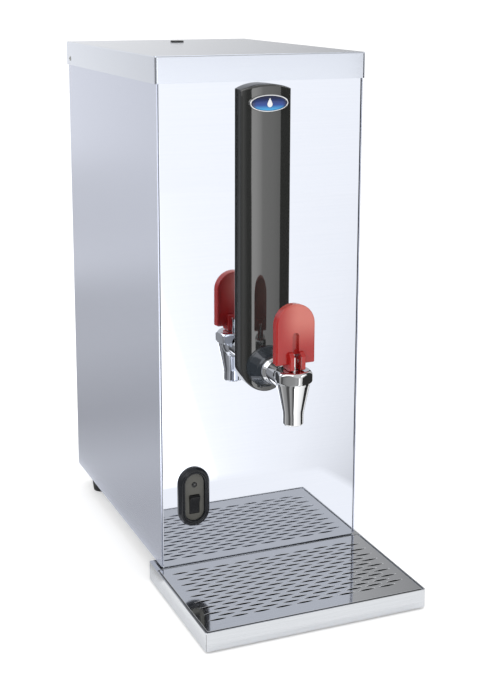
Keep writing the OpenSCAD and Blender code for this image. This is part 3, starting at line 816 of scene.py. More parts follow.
@dataclass
class Cabinet:
    """Sheet cabinet: panels, lid, base and feet."""

    shop: Workshop
    fold: float = 1.0 * MM
    lid_fold: float = 1.3 * MM
    edge: float = 0.25 * MM
    foot_fillet: float = 1.6 * MM
    hem: float = 1.6 * MM
    screw_sunk: float = 1.1 * MM

    def front(self) -> None:
        """Builds the polished front panel with its folded vertical edges."""
        face_y = low("front_panel").y
        half = high("front_panel").x
        bm = from_cad("front_panel")

        def folded(e: bmesh.types.BMEdge) -> bool:
            """Whether an edge is one of the two long vertical folds."""
            return all(abs(abs(v.co.x) - half) < 1e-5 and abs(v.co.y - face_y) < 1e-5 for v in e.verts)

        for vert in bm.verts:
            if vert.co.z < low("front_panel").z + 0.5 * MM and vert.co.y < face_y + 1.3 * MM:
                vert.co.z -= self.hem
        soften(bm, self.fold, segments=5, chosen=folded)
        self.shop.piece("front_panel_skin", bm, "front_panel")

    def sides(self) -> None:
        """Builds the two satin side panels."""
        for node in ("left_side_panel", "right_side_panel"):
            self.shop.dressed(node, self.edge, segments=3)

    def lid(self) -> None:
        """Builds the lid with rounded folds, its screws and its vent plug."""
        box_low, box_high = low("lid"), high("lid")
        bm = from_cad("lid")

        def top_fold(e: bmesh.types.BMEdge) -> bool:
            """Whether an edge belongs to the lid's top outline."""
            return all(
                abs(v.co.z - box_high.z) < 1e-5 and (
                    min(abs(v.co.x - box_low.x), abs(v.co.x - box_high.x)) < 4 * MM
                    or min(abs(v.co.y - box_low.y), abs(v.co.y - box_high.y)) < 4 * MM
                )
                for v in e.verts
            )

        soften(bm, self.lid_fold, segments=5, chosen=top_fold, clamp=False)
        self.shop.piece("lid_skin", bm, "lid")
        self.shop.dressed("lid_vent_plug", 0.35 * MM, segments=3, clamp=False)
        self.skirt_screws()

    def skirt_screws(self) -> None:
        """Builds the two pan-head screws on the lid's skirt, with crossed recesses."""
        centre = middle("lid_screws")
        tip = high("lid_screws").x - self.screw_sunk
        radius = 0.7 * spans("lid_screws").z / 2
        shank, length, depth = 2.0 * MM, 9 * MM, 0.9 * MM
        cross_long, cross_wide = 3.2 * MM, 0.7 * MM
        whole = bmesh.new()
        for side in (-1, 1):
            profile = [(0.0, tip), (radius * 0.55, tip - 0.05 * MM), (radius * 0.86, tip - 0.25 * MM),
                       (radius, tip - 0.6 * MM), (radius, tip - depth), (shank, tip - depth),
                       (shank, tip - length), (0.0, tip - length)]
            profile = [(r, side * t) for r, t in profile]
            screw = turned(Axis.X, (0, centre.y, centre.z), profile, count=40)
            for wide, tall in ((cross_wide, cross_long), (cross_long, cross_wide)):
                outline = rounded_box_outline(centre.y - wide / 2, centre.y + wide / 2,
                                              centre.z - tall / 2, centre.z + tall / 2, 0.3 * MM, steps=2)
                tool = prism(outline, Axis.X, *sorted((side * (tip + MM), side * (tip - MM))))
                screw = boolean(screw, tool, "DIFFERENCE")
            data = bpy.data.meshes.new("work")
            screw.to_mesh(data)
            screw.free()
            whole.from_mesh(data)
            bpy.data.meshes.remove(data)
        self.shop.piece("lid_screw_heads", whole, "lid_screws")

    def feet(self) -> None:
        """Builds the four tapered rubber feet, each with a moulded flange and a screw recess."""
        for node in ("foot_front_left", "foot_front_right", "foot_rear_left", "foot_rear_right"):
            centre, top = middle(node), high(node).z
            wide = spans(node).x / 2
            narrow = wide - 3 * MM
            profile = fillet([
                (2.2 * MM, top, 0), (wide, top, 0.4 * MM), (wide, top - 2.4 * MM, 0.5 * MM),
                (wide - 0.7 * MM, top - 3.0 * MM, 0.4 * MM), (narrow, 0.0, self.foot_fillet),
                (5 * MM, 0.0, 0.6 * MM), (5 * MM, 14 * MM, 0.5 * MM), (2.2 * MM, 14 * MM, 0.2 * MM),
            ], closed=True)
            bm = turned(Axis.Z, (centre.x, centre.y, 0), profile, count=72, hoop=True)
            self.shop.piece(f"{node}_rubber", bm, node)

    def rear(self) -> None:
        """Builds the rear panel, base plate and the fittings on the back."""
        for node in ("rear_panel", "base_plate"):
            self.shop.dressed(node, 0.2 * MM, clamp=False)
        self.shop.dressed("rear_panel_screws", 0.5 * MM, segments=3)
        for node, edge in (("inlet_nut", 0.5 * MM), ("cable_gland", 0.5 * MM), ("overflow_pipe", 0.3 * MM)):
            self.shop.dressed(node, edge)
        self.inlet_thread()

    def inlet_thread(self) -> None:
        """Builds the inlet valve with the ridges of its thread."""
        node = "inlet_solenoid"
        tip = high(node).y
        centre = middle("inlet_nut")
        radius, clear = 13.2 * MM, 16.2 * MM
        pitch, groove, turns = 1.8 * MM, 0.75 * MM, 6
        ridges = [
            (radius - (groove if i % 4 in (1, 2) else 0.0), tip - 1.5 * MM - pitch * i / 4, 0.15 * MM)
            for i in range(turns * 4 + 1)
        ]
        outer = [(radius - 1.4 * MM, tip + MM, 0), (clear, tip + MM, 0), (clear, ridges[-1][1], 0)]
        profile = fillet([*outer, *reversed(ridges), (radius - 1.1 * MM, tip - 0.2 * MM, 0)],
                         closed=True, steps=2)
        tool = turned(Axis.Y, (centre.x, 0, centre.z), profile, count=72, hoop=True)
        self.shop.piece("inlet_valve", boolean(from_cad(node), tool, "DIFFERENCE"), node)

    def vent_plug(self) -> None:
        """Fits the lid's vent: a soft black ring round a bright button."""
        centre = middle("lid_vent_plug")
        reach = spans("lid_vent_plug").x / 2 - 0.05 * MM
        top, seat, button = high("lid_vent_plug").z, high("lid").z, 3.3 * MM
        ring = turned(Axis.Z, (centre.x, centre.y, 0), [
            (button, seat - 0.4 * MM), (button, top - 0.7 * MM), (button + 0.5 * MM, top - 0.25 * MM),
            (reach - 1.2 * MM, top - 0.3 * MM), (reach - 0.3 * MM, top - 0.7 * MM), (reach, seat + 0.05 * MM),
            (button + 0.6 * MM, seat - 0.4 * MM),
        ])
        self.shop.piece("vent_ring", ring, "lid_vent_plug")
        cap = turned(Axis.Z, (centre.x, centre.y, 0), [
            (0.0, top - 0.05 * MM), (button * 0.6, top - 0.1 * MM), (button * 0.9, top - 0.35 * MM),
            (button - 0.05 * MM, top - 0.8 * MM), (button - 0.05 * MM, seat - 0.3 * MM),
            (0.0, seat - 0.3 * MM),
        ])
        self.shop.piece("vent_button", cap, "lid_vent_plug", stands_for=False, slot="zinc_fasteners")

    def build(self) -> None:
        """Builds the whole cabinet."""
        self.front()
        self.sides()
        self.lid()
        self.vent_plug()
        self.feet()
        self.rear()


@dataclass
class Column:
    """Dark glossy column cover with its badge."""

    shop: Workshop
    side_depth: float = 8 * MM
    crown_rise: float = 5 * MM
    edge: float = 1.5 * MM
    count: int = 200

    def __post_init__(self) -> None:
        """Reads the cover's sizes from the frame."""
        self.low, self.high = low("column_cover"), high("column_cover")
        self.half = self.high.x
        self.panel_y = self.high.y
        self.depth = self.panel_y - self.low.y
        sag = self.depth - self.side_depth
        self.arc = (self.half ** 2 + sag ** 2) / (2 * sag)
        self.round_z = self.low.z + self.half
        self.arch = (self.half ** 2 + self.crown_rise ** 2) / (2 * self.crown_rise)

    def reach(self, x: float) -> float:
        """Depth of the cover's front face at x, from the front panel."""
        return self.depth - self.arc + math.sqrt(self.arc ** 2 - x ** 2)

    def outline(self, inset: float) -> Outline:
        """The cover's outline seen from the front, drawn smaller.

        Args:
            inset: How much smaller on every side.

        Returns:
            Points as (x, z).
        """
        w = self.half - inset
        arc_low, arc_top = 70, 50
        side = (self.count - arc_low - arc_top) // 2
        radius = self.arch - inset
        centre_z = self.high.z - self.arch
        shoulder = centre_z + math.sqrt(max(radius ** 2 - w ** 2, 0.0))
        around = [math.pi + math.pi * i / arc_low for i in range(arc_low)]
        points = [(w * math.cos(a), self.round_z + w * math.sin(a)) for a in around]
        points += [(w, self.round_z + (shoulder - self.round_z) * i / side) for i in range(side)]
        half_angle = math.asin(min(1.0, w / radius))
        over = [half_angle - 2 * half_angle * i / arc_top for i in range(arc_top)]
        points += [(radius * math.sin(a), centre_z + radius * math.cos(a)) for a in over]
        points += [(-w, shoulder - (shoulder - self.round_z) * i / side) for i in range(side)]
        return points

    def cover(self) -> None:
        """Builds the cover: straight sides, a soft edge all round and a crowned front."""
        rings = [[Vector((x, self.panel_y, z)) for x, z in self.outline(0.0)]]
        stages = [(0.0, self.edge)]
        bends = [math.pi / 2 * k / 6 for k in range(1, 7)]
        stages += [(self.edge * (1 - math.cos(a)), self.edge * (1 - math.sin(a))) for a in bends]
        steps = 16
        across = self.half - self.edge - 0.05 * MM
        stages += [(self.edge + across * (k / steps), 0.0) for k in range(1, steps + 1)]
        for inset, drop in stages:
            places = self.outline(inset)
            rings.append([Vector((x, self.panel_y - self.reach(x) + drop, z)) for x, z in places])
        self.shop.piece("column_shell", loft(rings), "column_cover", sharp=50, weighted=False)

    def oval(self, wide: float, tall: float, y: float, count: int = 96) -> list[Vector]:
        """One oval ring of the badge.

        Args:
            wide: Full width.
            tall: Full height.
            y: Its plane.
            count: Points.

        Returns:
            The ring.
        """
        z = middle("badge_rim").z
        around = [math.tau * i / count for i in range(count)]
        return [Vector((wide / 2 * math.cos(a), y, z + tall / 2 * math.sin(a))) for a in around]

    def badge(self) -> None:
        """Builds the badge: a bright rim, a domed lens and a plain raised drop."""
        wide, _, tall = spans("badge_rim")
        front, back = low("badge_rim").y, high("badge_rim").y
        profile = fillet([
            (0.0, back, 0), (0.0, front + 0.7 * MM, 0.5 * MM), (0.5 * MM, front, 0.4 * MM),
            (1.2 * MM, front, 0.4 * MM), (1.7 * MM, front + 0.8 * MM, 0.3 * MM), (1.7 * MM, back, 0),
        ])
        rings = [self.oval(wide - 2 * m, tall - 2 * m, y) for m, y in profile]
        self.shop.piece("badge_bright_rim", loft(rings, loop=True), "badge_rim", weighted=False)
        inner_w, inner_t = wide - 3.5 * MM, tall - 3.5 * MM
        dome = [self.oval(inner_w, inner_t, back - 0.5 * MM)]
        steps = 12
        for k in range(steps + 1):
            share = math.cos(math.pi / 2 * k / (steps + 0.5))
            rise = 1.1 * MM * math.sin(math.pi / 2 * k / steps)
            dome.append(self.oval(inner_w * share, inner_t * share, front + 0.5 * MM - rise))
        self.shop.piece("badge_dome", loft(dome), "badge_lens", sharp=60, weighted=False)
        self.drop(front - 1.15 * MM)

    def drop(self, y: float) -> None:
        """Builds the plain raised water drop on the dome.

        Args:
            y: Place of its face.
        """
        z = middle("badge_rim").z - 0.9 * MM
        radius, tip, steps = 2.7 * MM, 6.2 * MM, 28
        shoulder = math.pi / 2 - math.asin(radius / tip)
        around = [shoulder - math.pi + 2 * (math.pi - shoulder) * i / steps for i in range(steps + 1)]
        outline = [(radius * math.sin(a), z - radius * math.cos(a)) for a in around] + [(0.0, z + tip)]
        bm = prism(outline, Axis.Y, y, y + 1.4 * MM, edge=0.2 * MM)
        self.shop.piece("badge_drop", bm, "badge_lens", stands_for=False, slot="chrome")

    def build(self) -> None:
        """Builds the cover and its badge."""
        self.cover()
        self.badge()


@dataclass
class Tap:
    """Chrome cam tap: escutcheon, collar, body, bonnet, stem and red lever."""

    shop: Workshop
    column: Column
    tilt: float = math.radians(35)
    lift: float = 3 * MM
    count: int = 128
    bore: float = 10.4 * MM
    lever_trim: float = 1.1 * MM

    def __post_init__(self) -> None:
        """Reads the tap's axes and sizes from the frame."""
        pin = middle("tap_lever_pin")
        self.y = pin.y
        self.pin_z = pin.z
        self.axis_z = middle("tap_collar").z
        self.spout_z = low("tap_body").z
        self.bonnet_low = low("tap_bonnet").z
        self.bonnet_high = high("tap_bonnet").z

    def escutcheon(self) -> None:
        """Builds the conical escutcheon, its foot fitted to the crowned column."""
        front, wide = low("tap_escutcheon").y, 20.5 * MM
        collar = spans("tap_collar").x / 2
        rings = []
        shape = fillet([
            (self.bore, 0.0, 0), (collar + 0.5 * MM, 0.0, 0.5 * MM), (collar + 1.6 * MM, 3.0 * MM, 2.5 * MM),
            (wide - 1.2 * MM, 12.0 * MM, 1.4 * MM), (wide, 12.6 * MM, 0.4 * MM), (wide, 14.0 * MM, 0),
        ], steps=6)
        for radius, back in shape:
            share = min(1.0, max(0.0, (back - 6 * MM) / (8 * MM)))
            ring = []
            for i in range(self.count):
                a = math.tau * i / self.count
                x = radius * math.cos(a)
                fall = self.column.depth - self.column.reach(x)
                ring.append(Vector((x, front + back + share * fall, self.axis_z + radius * math.sin(a))))
            rings.append(ring)
        inner_y = self.column.panel_y - self.column.depth + 1.5 * MM
        rings.append([
            on_axis(Axis.Y, (0, 0, self.axis_z), inner_y, self.bore, math.tau * i / self.count)
            for i in range(self.count)
        ])
        self.shop.piece("escutcheon_cone", loft(rings, loop=True), "tap_escutcheon", weighted=False, sharp=50)

    def collar(self) -> None:
        """Builds the bright collar with its rolled lips."""
        front, back = low("tap_collar").y, high("tap_collar").y
        r = high("tap_collar").x
        profile = fillet([
            (self.bore, back, 0), (r - 0.6 * MM, back, 0.3 * MM), (r, back - 1.2 * MM, 0.8 * MM),
            (r - 0.2 * MM, back - 3.6 * MM, 1.5 * MM), (r - 1.8 * MM, back - 5.2 * MM, 0.8 * MM),
            (r - 1.6 * MM, front + 0.6 * MM, 0.5 * MM), (r - 2.2 * MM, front, 0.3 * MM),
            (self.bore, front, 0),
        ], closed=True)
        bm = turned(Axis.Y, (0, 0, self.axis_z), profile, count=self.count, hoop=True)
        self.shop.piece("collar_ring", bm, "tap_collar", weighted=False, sharp=50)

    def body(self) -> None:
        """Builds the chrome body: barrel, rounded elbow, outlet cone and spout, bored through."""
        collar_y = low("tap_collar").y
        rear = high("tap_body").y
        arm_r, thread_r = 10.9 * MM, 10.0 * MM
        barrel = turned(Axis.Y, (0, 0, self.axis_z), fillet([
            (0.0, self.y, 0), (arm_r, self.y, 0), (arm_r, collar_y - 0.8 * MM, 0.8 * MM),
            (thread_r, collar_y, 0.3 * MM), (thread_r, rear - 0.8 * MM, 0.0), (9.4 * MM, rear, 0.0),
            (0.0, rear, 0),
        ]), count=self.count)
        elbow_r = 14.6 * MM
        elbow = turned(Axis.Y, (0, 0, self.axis_z), [
            (elbow_r * math.sin(math.pi * k / 24), self.y + 4.8 * MM - elbow_r * math.cos(math.pi * k / 24))
            for k in range(25)
        ], count=self.count)
        head, narrow, neck = 15.5 * MM, 9.7 * MM, 12.0 * MM
        cone = turned(Axis.Z, (0, self.y, 0), fillet([
            (0.0, self.spout_z, 0), (narrow - 0.4 * MM, self.spout_z, 0.5 * MM),
            (narrow, self.spout_z + 1.2 * MM, 0.5 * MM), (narrow, self.spout_z + 10.5 * MM, 30 * MM),
            (head, self.axis_z, 5 * MM), (head, self.bonnet_low, 0.3 * MM), (neck, self.bonnet_low, 0),
            (neck, self.bonnet_low + 7 * MM, 0), (0.0, self.bonnet_low + 7 * MM, 0),
        ], steps=10), count=self.count)
        cap = rod(Axis.Z, (0, self.y, 0), 25 * MM, self.bonnet_low, self.bonnet_low + 20 * MM,
                  count=self.count)
        arm = boolean(boolean(barrel, elbow, "UNION"), cap, "DIFFERENCE")
        whole = boolean(arm, cone, "UNION")
        mouth, seat, chamber = 7.4 * MM, 6.0 * MM, 9.0 * MM
        outlet = turned(Axis.Z, (0, self.y, 0), [
            (0.0, self.spout_z - MM), (mouth, self.spout_z - MM), (mouth, self.spout_z + 9 * MM),
            (seat, self.spout_z + 11 * MM), (seat, self.axis_z - 10 * MM), (chamber, self.axis_z - 10 * MM),
            (chamber, self.bonnet_low + 8 * MM), (0.0, self.bonnet_low + 8 * MM),
        ], count=64)
        self.shop.piece("tap_chrome_body", boolean(whole, outlet, "DIFFERENCE"), "tap_body", sharp=40)

    def bonnet(self) -> None:
        """Builds the hexagon bonnet, its corners chamfered above and below."""
        across = 37 * MM / 2
        turn = math.radians(23)
        z0, z1 = self.bonnet_low, self.bonnet_high
        count, blend = 192, 0.25 * MM

        def ring(z: float, limit: float) -> list[Vector]:
            """One ring of the hexagon at height z, blended with a circle of radius limit."""
            points = []
            for i in range(count):
                a = math.tau * i / count
                within = (a - turn) % (math.pi / 3) - math.pi / 6
                flat = across * math.cos(math.pi / 6) / math.cos(within)
                least = min(flat, limit)
                excess = math.exp((least - flat) / blend) + math.exp((least - limit) / blend)
                points.append(on_axis(Axis.Z, (0, self.y, 0), z, least - blend * math.log(excess), a))
            return points

        corner = across - 0.35 * MM
        hole, recess, skirt = 3.6 * MM, 9 * MM, 12.05 * MM
        levels = [
            (z0, across - 1.9 * MM), (z0 + 0.5 * MM, across - 1.2 * MM), (z0 + 1.3 * MM, corner - 0.3 * MM),
            (z0 + 2.0 * MM, corner), (z1 - 3.4 * MM, corner), (z1 - 2.6 * MM, corner - 0.5 * MM),
            (z1 - 1.4 * MM, across - 2.1 * MM), (z1 - 0.6 * MM, across - 3.1 * MM),
            (z1 - 0.15 * MM, across - 4.0 * MM), (z1, across - 5.0 * MM), (z1, 8 * MM), (z1, 4.6 * MM),
            (z1 - 0.3 * MM, hole), (z1 - 3.7 * MM, hole), (z1 - 3.7 * MM, recess), (z0 + 7.2 * MM, recess),
            (z0 + 7.2 * MM, skirt), (z0, skirt),
        ]
        bm = loft([ring(z, limit) for z, limit in levels], loop=True)
        self.shop.piece("bonnet_hexagon", bm, "tap_bonnet", sharp=50, weighted=False)

    def stem(self) -> None:
        """Builds the stem, the pin and the return spring."""
        foot, top = low("tap_stem").z, high("tap_stem").z
        r, neck, flange, pin_r = 3.5 * MM, 2.5 * MM, 7 * MM, 2 * MM
        shoulder = self.axis_z - 5.5 * MM
        profile = fillet([
            (0.0, foot, 0), (neck, foot, 0), (neck, shoulder, 0), (flange, shoulder, 0.3 * MM),
            (flange, shoulder + 2 * MM, 0.3 * MM), (r, shoulder + 2 * MM, 0), (r, top - 0.9 * MM, 0.9 * MM),
            (0.0, top, 0),
        ])
        pin_axis = (0, self.y, self.pin_z)
        bm = turned(Axis.Z, (0, self.y, 0), profile, count=64)
        hole = rod(Axis.X, pin_axis, pin_r, -9 * MM, 9 * MM)
        self.shop.piece("stem_rod", boolean(bm, hole, "DIFFERENCE"), "tap_stem")
        end = high("tap_lever_pin").x
        pin = fillet([(0.0, -end, 0), (pin_r, -end, 0.5 * MM), (pin_r, end, 0.5 * MM), (0.0, end, 0)])
        self.shop.piece("lever_pin_rod", turned(Axis.X, pin_axis, pin, count=48), "tap_lever_pin")
        self.spring()

    def spring(self) -> None:
        """Builds the coiled return spring at rest, on a mesh of its own."""
        z0, z1 = low("tap_spring").z, high("tap_spring").z
        wire, coil, turns = 0.6 * MM, 5.6 * MM, 5
        steps = 24 * turns
        up = Vector((0, 0, 1))
        section = [math.tau * k / 8 for k in range(8)]
        rings = []
        for i in range(steps + 1):
            a = math.tau * turns * i / steps
            z = z0 + wire + (z1 - z0 - 2 * wire) * i / steps
            centre = Vector((coil * math.cos(a), self.y + coil * math.sin(a), z))
            out = Vector((math.cos(a), math.sin(a), 0))
            rings.append([
                centre + wire * (out * math.cos(around) + up * math.sin(around))
                for around in section
            ])
        made = self.shop.piece("return_spring", loft(rings), "tap_spring", weighted=False)
        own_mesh(made)

    def cam_outline(self) -> Outline:
        """The fork's outline seen from the side, in (y, z).

        Returns:
            Points; each degree of tilt lifts the stem evenly.
        """
        rise = self.lift / self.tilt
        heel = self.pin_z - self.bonnet_high - 0.3 * MM
        points = []
        for i in range(15):
            a = self.tilt * i / 14
            h = heel + rise * a
            points.append((self.y - h * math.sin(a) - rise * math.cos(a),
                           self.pin_z - h * math.cos(a) + rise * math.sin(a)))
        front = points[-1][0]
        crown = self.pin_z + 10 * MM
        nose = fillet([
            (*points[-1], 0), (front, crown - 3.5 * MM, 3 * MM), (front + 3.4 * MM, crown, 2.4 * MM),
            (self.y, crown, 0),
        ], steps=7)
        back = self.y + 6.3 * MM
        rear = fillet([
            (self.y, crown, 0), (back, crown, 2 * MM),
            (back, self.pin_z - heel, 1.2 * MM), (points[0][0], self.pin_z - heel, 0),
        ])
        return points + nose[1:-1] + rear[1:-1]

    def paddle(self, inset: float, foot: float, steps: int = 36) -> Outline:
        """The paddle's outline seen from the front.

        Args:
            inset: How much smaller on every side.
            foot: Rounding of the two lower corners.
            steps: Segments of the round top.

        Returns:
            Points as (x, z).
        """
        half = high("tap_lever").x - self.lever_trim
        w = half - inset
        crown = high("tap_lever").z + 0.6 * MM - half
        base = self.pin_z - 2 * MM + inset
        around = [math.pi * i / steps for i in range(steps + 1)]
        points = [(w * math.cos(a), crown + w * math.sin(a)) for a in around]
        corners = fillet([(-w, crown, 0), (-w, base, foot), (w, base, foot), (w, crown, 0)], steps=5)
        return points + corners[1:-1]

    def lever(self) -> None:
        """Builds the red lever: a soft-edged paddle, a sunk rib and the forked cam."""
        front, back = self.y - 5 * MM, self.y + 4.8 * MM
        foot, soft = 1.2 * MM, 2.0 * MM
        rear_edge = [(1.4 * MM, 0.0), (0.55 * MM, 0.12 * MM), (0.12 * MM, 0.55 * MM), (0.0, 1.4 * MM)]
        stages = [(m + 0.3 * MM, back - d) for m, d in rear_edge]
        bends = [math.pi / 2 * k / 8 for k in range(9)]
        stages += [(soft * (1 - math.cos(a)), front + soft * (1 - math.sin(a))) for a in bends]
        dish = ((3.2 * MM, 0.0), (5.0 * MM, 0.12 * MM), (9.0 * MM, 0.32 * MM), (14.0 * MM, 0.42 * MM))
        stages += [(inset, front + sink) for inset, sink in dish]
        paddle = loft([[Vector((x, y, z)) for x, z in self.paddle(inset, foot)] for inset, y in stages])
        recess = ((2.4 * MM, back + MM), (2.6 * MM, back - 0.9 * MM), (3.4 * MM, back - 1.3 * MM))
        hollow = loft([[Vector((x, y, z)) for x, z in self.paddle(m, 0.8 * MM)] for m, y in recess])
        shell = boolean(paddle, hollow, "DIFFERENCE")
        rib_r, below = 3.3 * MM, self.pin_z - 20 * MM
        around = [math.pi * i / 16 for i in range(17)]
        rib_outline = [(rib_r * math.cos(a), self.pin_z + 24.5 * MM + rib_r * math.sin(a)) for a in around]
        rib_outline += [(-rib_r, below), (rib_r, below)]
        rib = prism(rib_outline, Axis.Y, front - 14 * MM, front + 3.8 * MM)
        fork_half, slot_half = 7.7 * MM, 3.75 * MM
        fork = prism(self.cam_outline(), Axis.X, -fork_half, fork_half)
        fork = soften(fork, 1.1 * MM, angle=60, segments=4)
        whole = boolean(boolean(shell, fork, "UNION"), rib, "DIFFERENCE")
        slot = prism(rounded_box_outline(-slot_half, slot_half, below, self.pin_z + 6.6 * MM, 0.6 * MM),
                     Axis.Y, self.y - 14 * MM, self.y + 14 * MM)
        whole = boolean(whole, slot, "DIFFERENCE")
        bore = rod(Axis.X, (0, self.y, self.pin_z), 2.05 * MM, -8.3 * MM, 8.3 * MM)
        self.shop.piece("lever_paddle", boolean(whole, bore, "DIFFERENCE"), "tap_lever", sharp=42)

    def build(self) -> None:
        """Builds the whole tap."""
        self.escutcheon()
        self.collar()
        self.body()
        self.bonnet()
        self.stem()
        self.lever()


@dataclass
class Switch:
    """Power switch: stadium bezel, rocker and indicator lens."""

    shop: Workshop
    count: int = 40

    def __post_init__(self) -> None:
        """Reads the bezel's place and size from the frame."""
        self.centre = middle("switch_bezel")
        self.front_y, self.panel_y = low("switch_bezel").y, high("switch_bezel").y
        self.sunk = self.panel_y - 2.3 * MM
        self.wide, _, self.tall = spans("switch_bezel")

    def ring(self, inset: float, y: float) -> list[Vector]:
        """One stadium ring of the bezel.

        Args:
            inset: How far inside the outer outline.
            y: Its plane.

        Returns:
            The ring.
        """
        r = self.wide / 2 - inset
        straight = (self.tall - self.wide) / 2
        points = []
        for sign, start in ((1, 0.0), (-1, math.pi)):
            for i in range(self.count + 1):
                a = start + math.pi * i / self.count
                centre = (self.centre.x, 0, self.centre.z + sign * straight)
                points.append(on_axis(Axis.Y, centre, y, r, a))
        return points

    def pierced(self, bm: bmesh.types.BMesh) -> bmesh.types.BMesh:
        """Cuts the rocker's window and the lamp's hole.

        Args:
            bm: The mesh, which is used up.

        Returns:
            The mesh with its two openings.
        """
        start, stop = self.sunk - 3 * MM, self.panel_y + MM
        x, z = self.centre.x, middle("switch_rocker").z
        half_x, half_z = 5.3 * MM, 9.8 * MM
        window = rounded_box_outline(x - half_x, x + half_x, z - half_z, z + half_z, 0.9 * MM)
        bm = boolean(bm, prism(window, Axis.Y, start, stop), "DIFFERENCE")
        lamp = middle("indicator_lens")
        return boolean(bm, rod(Axis.Y, (lamp.x, 0, lamp.z), 2.3 * MM, start, stop), "DIFFERENCE")

    def bezel(self) -> None:
        """Builds the bezel: rounded shoulder, raised bead, groove and sunk face, with its openings."""
        front, back, sunk = self.front_y, self.panel_y, self.sunk
        middle_in = 12.0 * MM
        profile = fillet([
            (0.0, back, 0), (0.0, back - 1.8 * MM, 1.2 * MM), (1.6 * MM, front + 0.9 * MM, 1.6 * MM),
            (3.4 * MM, front + 0.25 * MM, 0.6 * MM), (4.0 * MM, front + 0.9 * MM, 0.25 * MM),
            (4.35 * MM, front + 0.9 * MM, 0.2 * MM), (4.7 * MM, front + 0.1 * MM, 0.3 * MM),
            (5.6 * MM, front + 0.1 * MM, 0.35 * MM), (6.0 * MM, sunk, 0.3 * MM), (middle_in, sunk, 0),
        ], steps=5)
        bezel = loft([self.ring(m, y) for m, y in profile])
        self.shop.piece("bezel_ring", self.pierced(bezel), "switch_bezel", sharp=55)
        rim, proud = 6.15 * MM, sunk - 0.25 * MM
        profile = fillet([(rim, sunk + 0.3 * MM, 0), (rim, proud, 0.2 * MM), (middle_in, proud, 0)], steps=3)
        face = self.pierced(loft([self.ring(m, y) for m, y in profile]))
        self.shop.piece("bezel_face_plate", face, "switch_bezel", stands_for=False, finish="switch_face")

    def rocker(self) -> None:
        """Builds the rocker with rounded ends and soft rims."""
        bm = soften(from_cad("switch_rocker"), 0.45 * MM, segments=3)
        self.shop.piece("rocker_key", bm, "switch_rocker", sharp=40)

    def lamp(self) -> None:
        """Builds the smoked indicator lens with its thin collar."""
        centre = middle("indicator_lens")
        front, back = low("indicator_lens").y, high("indicator_lens").y
        r, body, sunk = spans("indicator_lens").x / 2, 2.2 * MM, self.sunk
        dome, base = r - 0.6 * MM, sunk - 0.5 * MM
        profile = [(0.0, back), (body, back), (body, sunk), (r, sunk), (r, sunk - 0.45 * MM),
                   (r - 0.3 * MM, sunk - 0.6 * MM), (dome, base)]
        bends = [math.pi / 2 * k / 8 for k in range(1, 9)]
        profile += [(dome * math.cos(a), base - (base - front) * math.sin(a)) for a in bends]
        lens = turned(Axis.Y, (centre.x, 0, centre.z), profile, count=48)
        self.shop.piece("lamp_dome", lens, "indicator_lens")

    def build(self) -> None:
        """Builds the whole switch."""
        self.bezel()
        # Leaves the steel's colour as it is; a kind of steel with painted shade in its hollows changes it.
        self.rocker()
        self.lamp()


@dataclass
class DripTray:
    """Drip tray: rimmed pan, rubber pads and slotted grille."""

    shop: Workshop

    def pan(self) -> None:
        """Builds the pan with its rolled rim."""
        self.shop.dressed("tray_pan", 0.4 * MM, segments=3)

    def grille(self) -> None:
        """Builds the grille, each slot's rim pressed soft."""
        top = high("tray_grille").z
        bm = from_cad("tray_grille")

        def upper(e: bmesh.types.BMEdge) -> bool:
            """Whether an edge lies in the grille's top face."""
            return all(abs(v.co.z - top) < 1e-5 for v in e.verts)

        soften(bm, 0.22 * MM, segments=2, chosen=upper, clamp=False)
        self.shop.piece("grille_plate", bm, "tray_grille", sharp=40)

    def pads(self) -> None:
        """Builds the tray's rubber pads."""
        self.shop.dressed("tray_feet", 0.4 * MM, segments=3)

    def build(self) -> None:
        """Builds the whole tray."""
        self.pan()
        self.grille()
        self.pads()


@dataclass(frozen=True)
class BadgeEnamel:
    """Domed badge resin: navy above and at the ends, blue in the middle, cyan along the foot."""

    name: str = "badge_enamel"
    navy: Colour = (0.004, 0.010, 0.055)
    blue: Colour = (0.006, 0.055, 0.30)
    cyan: Colour = (0.05, 0.42, 0.80)

    def build(self) -> bpy.types.Material:
        """Leaves the plastic's colour as it is; a kind of plastic with a painted highlight changes it.

        Returns:
            The resin, shaded from navy to cyan, with fine mica flecks.
        """
        shader = Shader(self.name, 0.0, 0.12)
        shader.surface.inputs["Coat Weight"].default_value = 0.4
        shader.surface.inputs["Coat Roughness"].default_value = 0.05
        centre = middle("badge_rim")
        half_w, half_h = spans("badge_rim").x / 2, spans("badge_rim").z / 2
        parts = shader.coordinates()
        height = shader.between(parts["Z"], centre.z - half_h * 0.75, centre.z + half_h * 0.55, soft=False)
        ends = shader.between(shader.maths("ABSOLUTE", parts["X"]), half_w * 0.62, half_w * 0.92)
        rise = shader.node("ShaderNodeValToRGB")
        stops = rise.color_ramp.elements
        stops[0].color = (*self.cyan, 1)
        stops[1].color = (*self.navy, 1)
        stops.new(0.42).color = (*self.blue, 1)
        shader.join(height, rise.inputs[0])
        colour = shader.blend(ends, rise.outputs[0], self.navy)
        flecks = shader.place(Effects.streaks, Scale=2600.0, Contrast=1.2)
        shader.feed(colour, "Base Color")
        shader.feed(shader.ramp(flecks, 0.08, 0.16), "Roughness")
        shader.bump(flecks, 0.000003)
        return shader.material


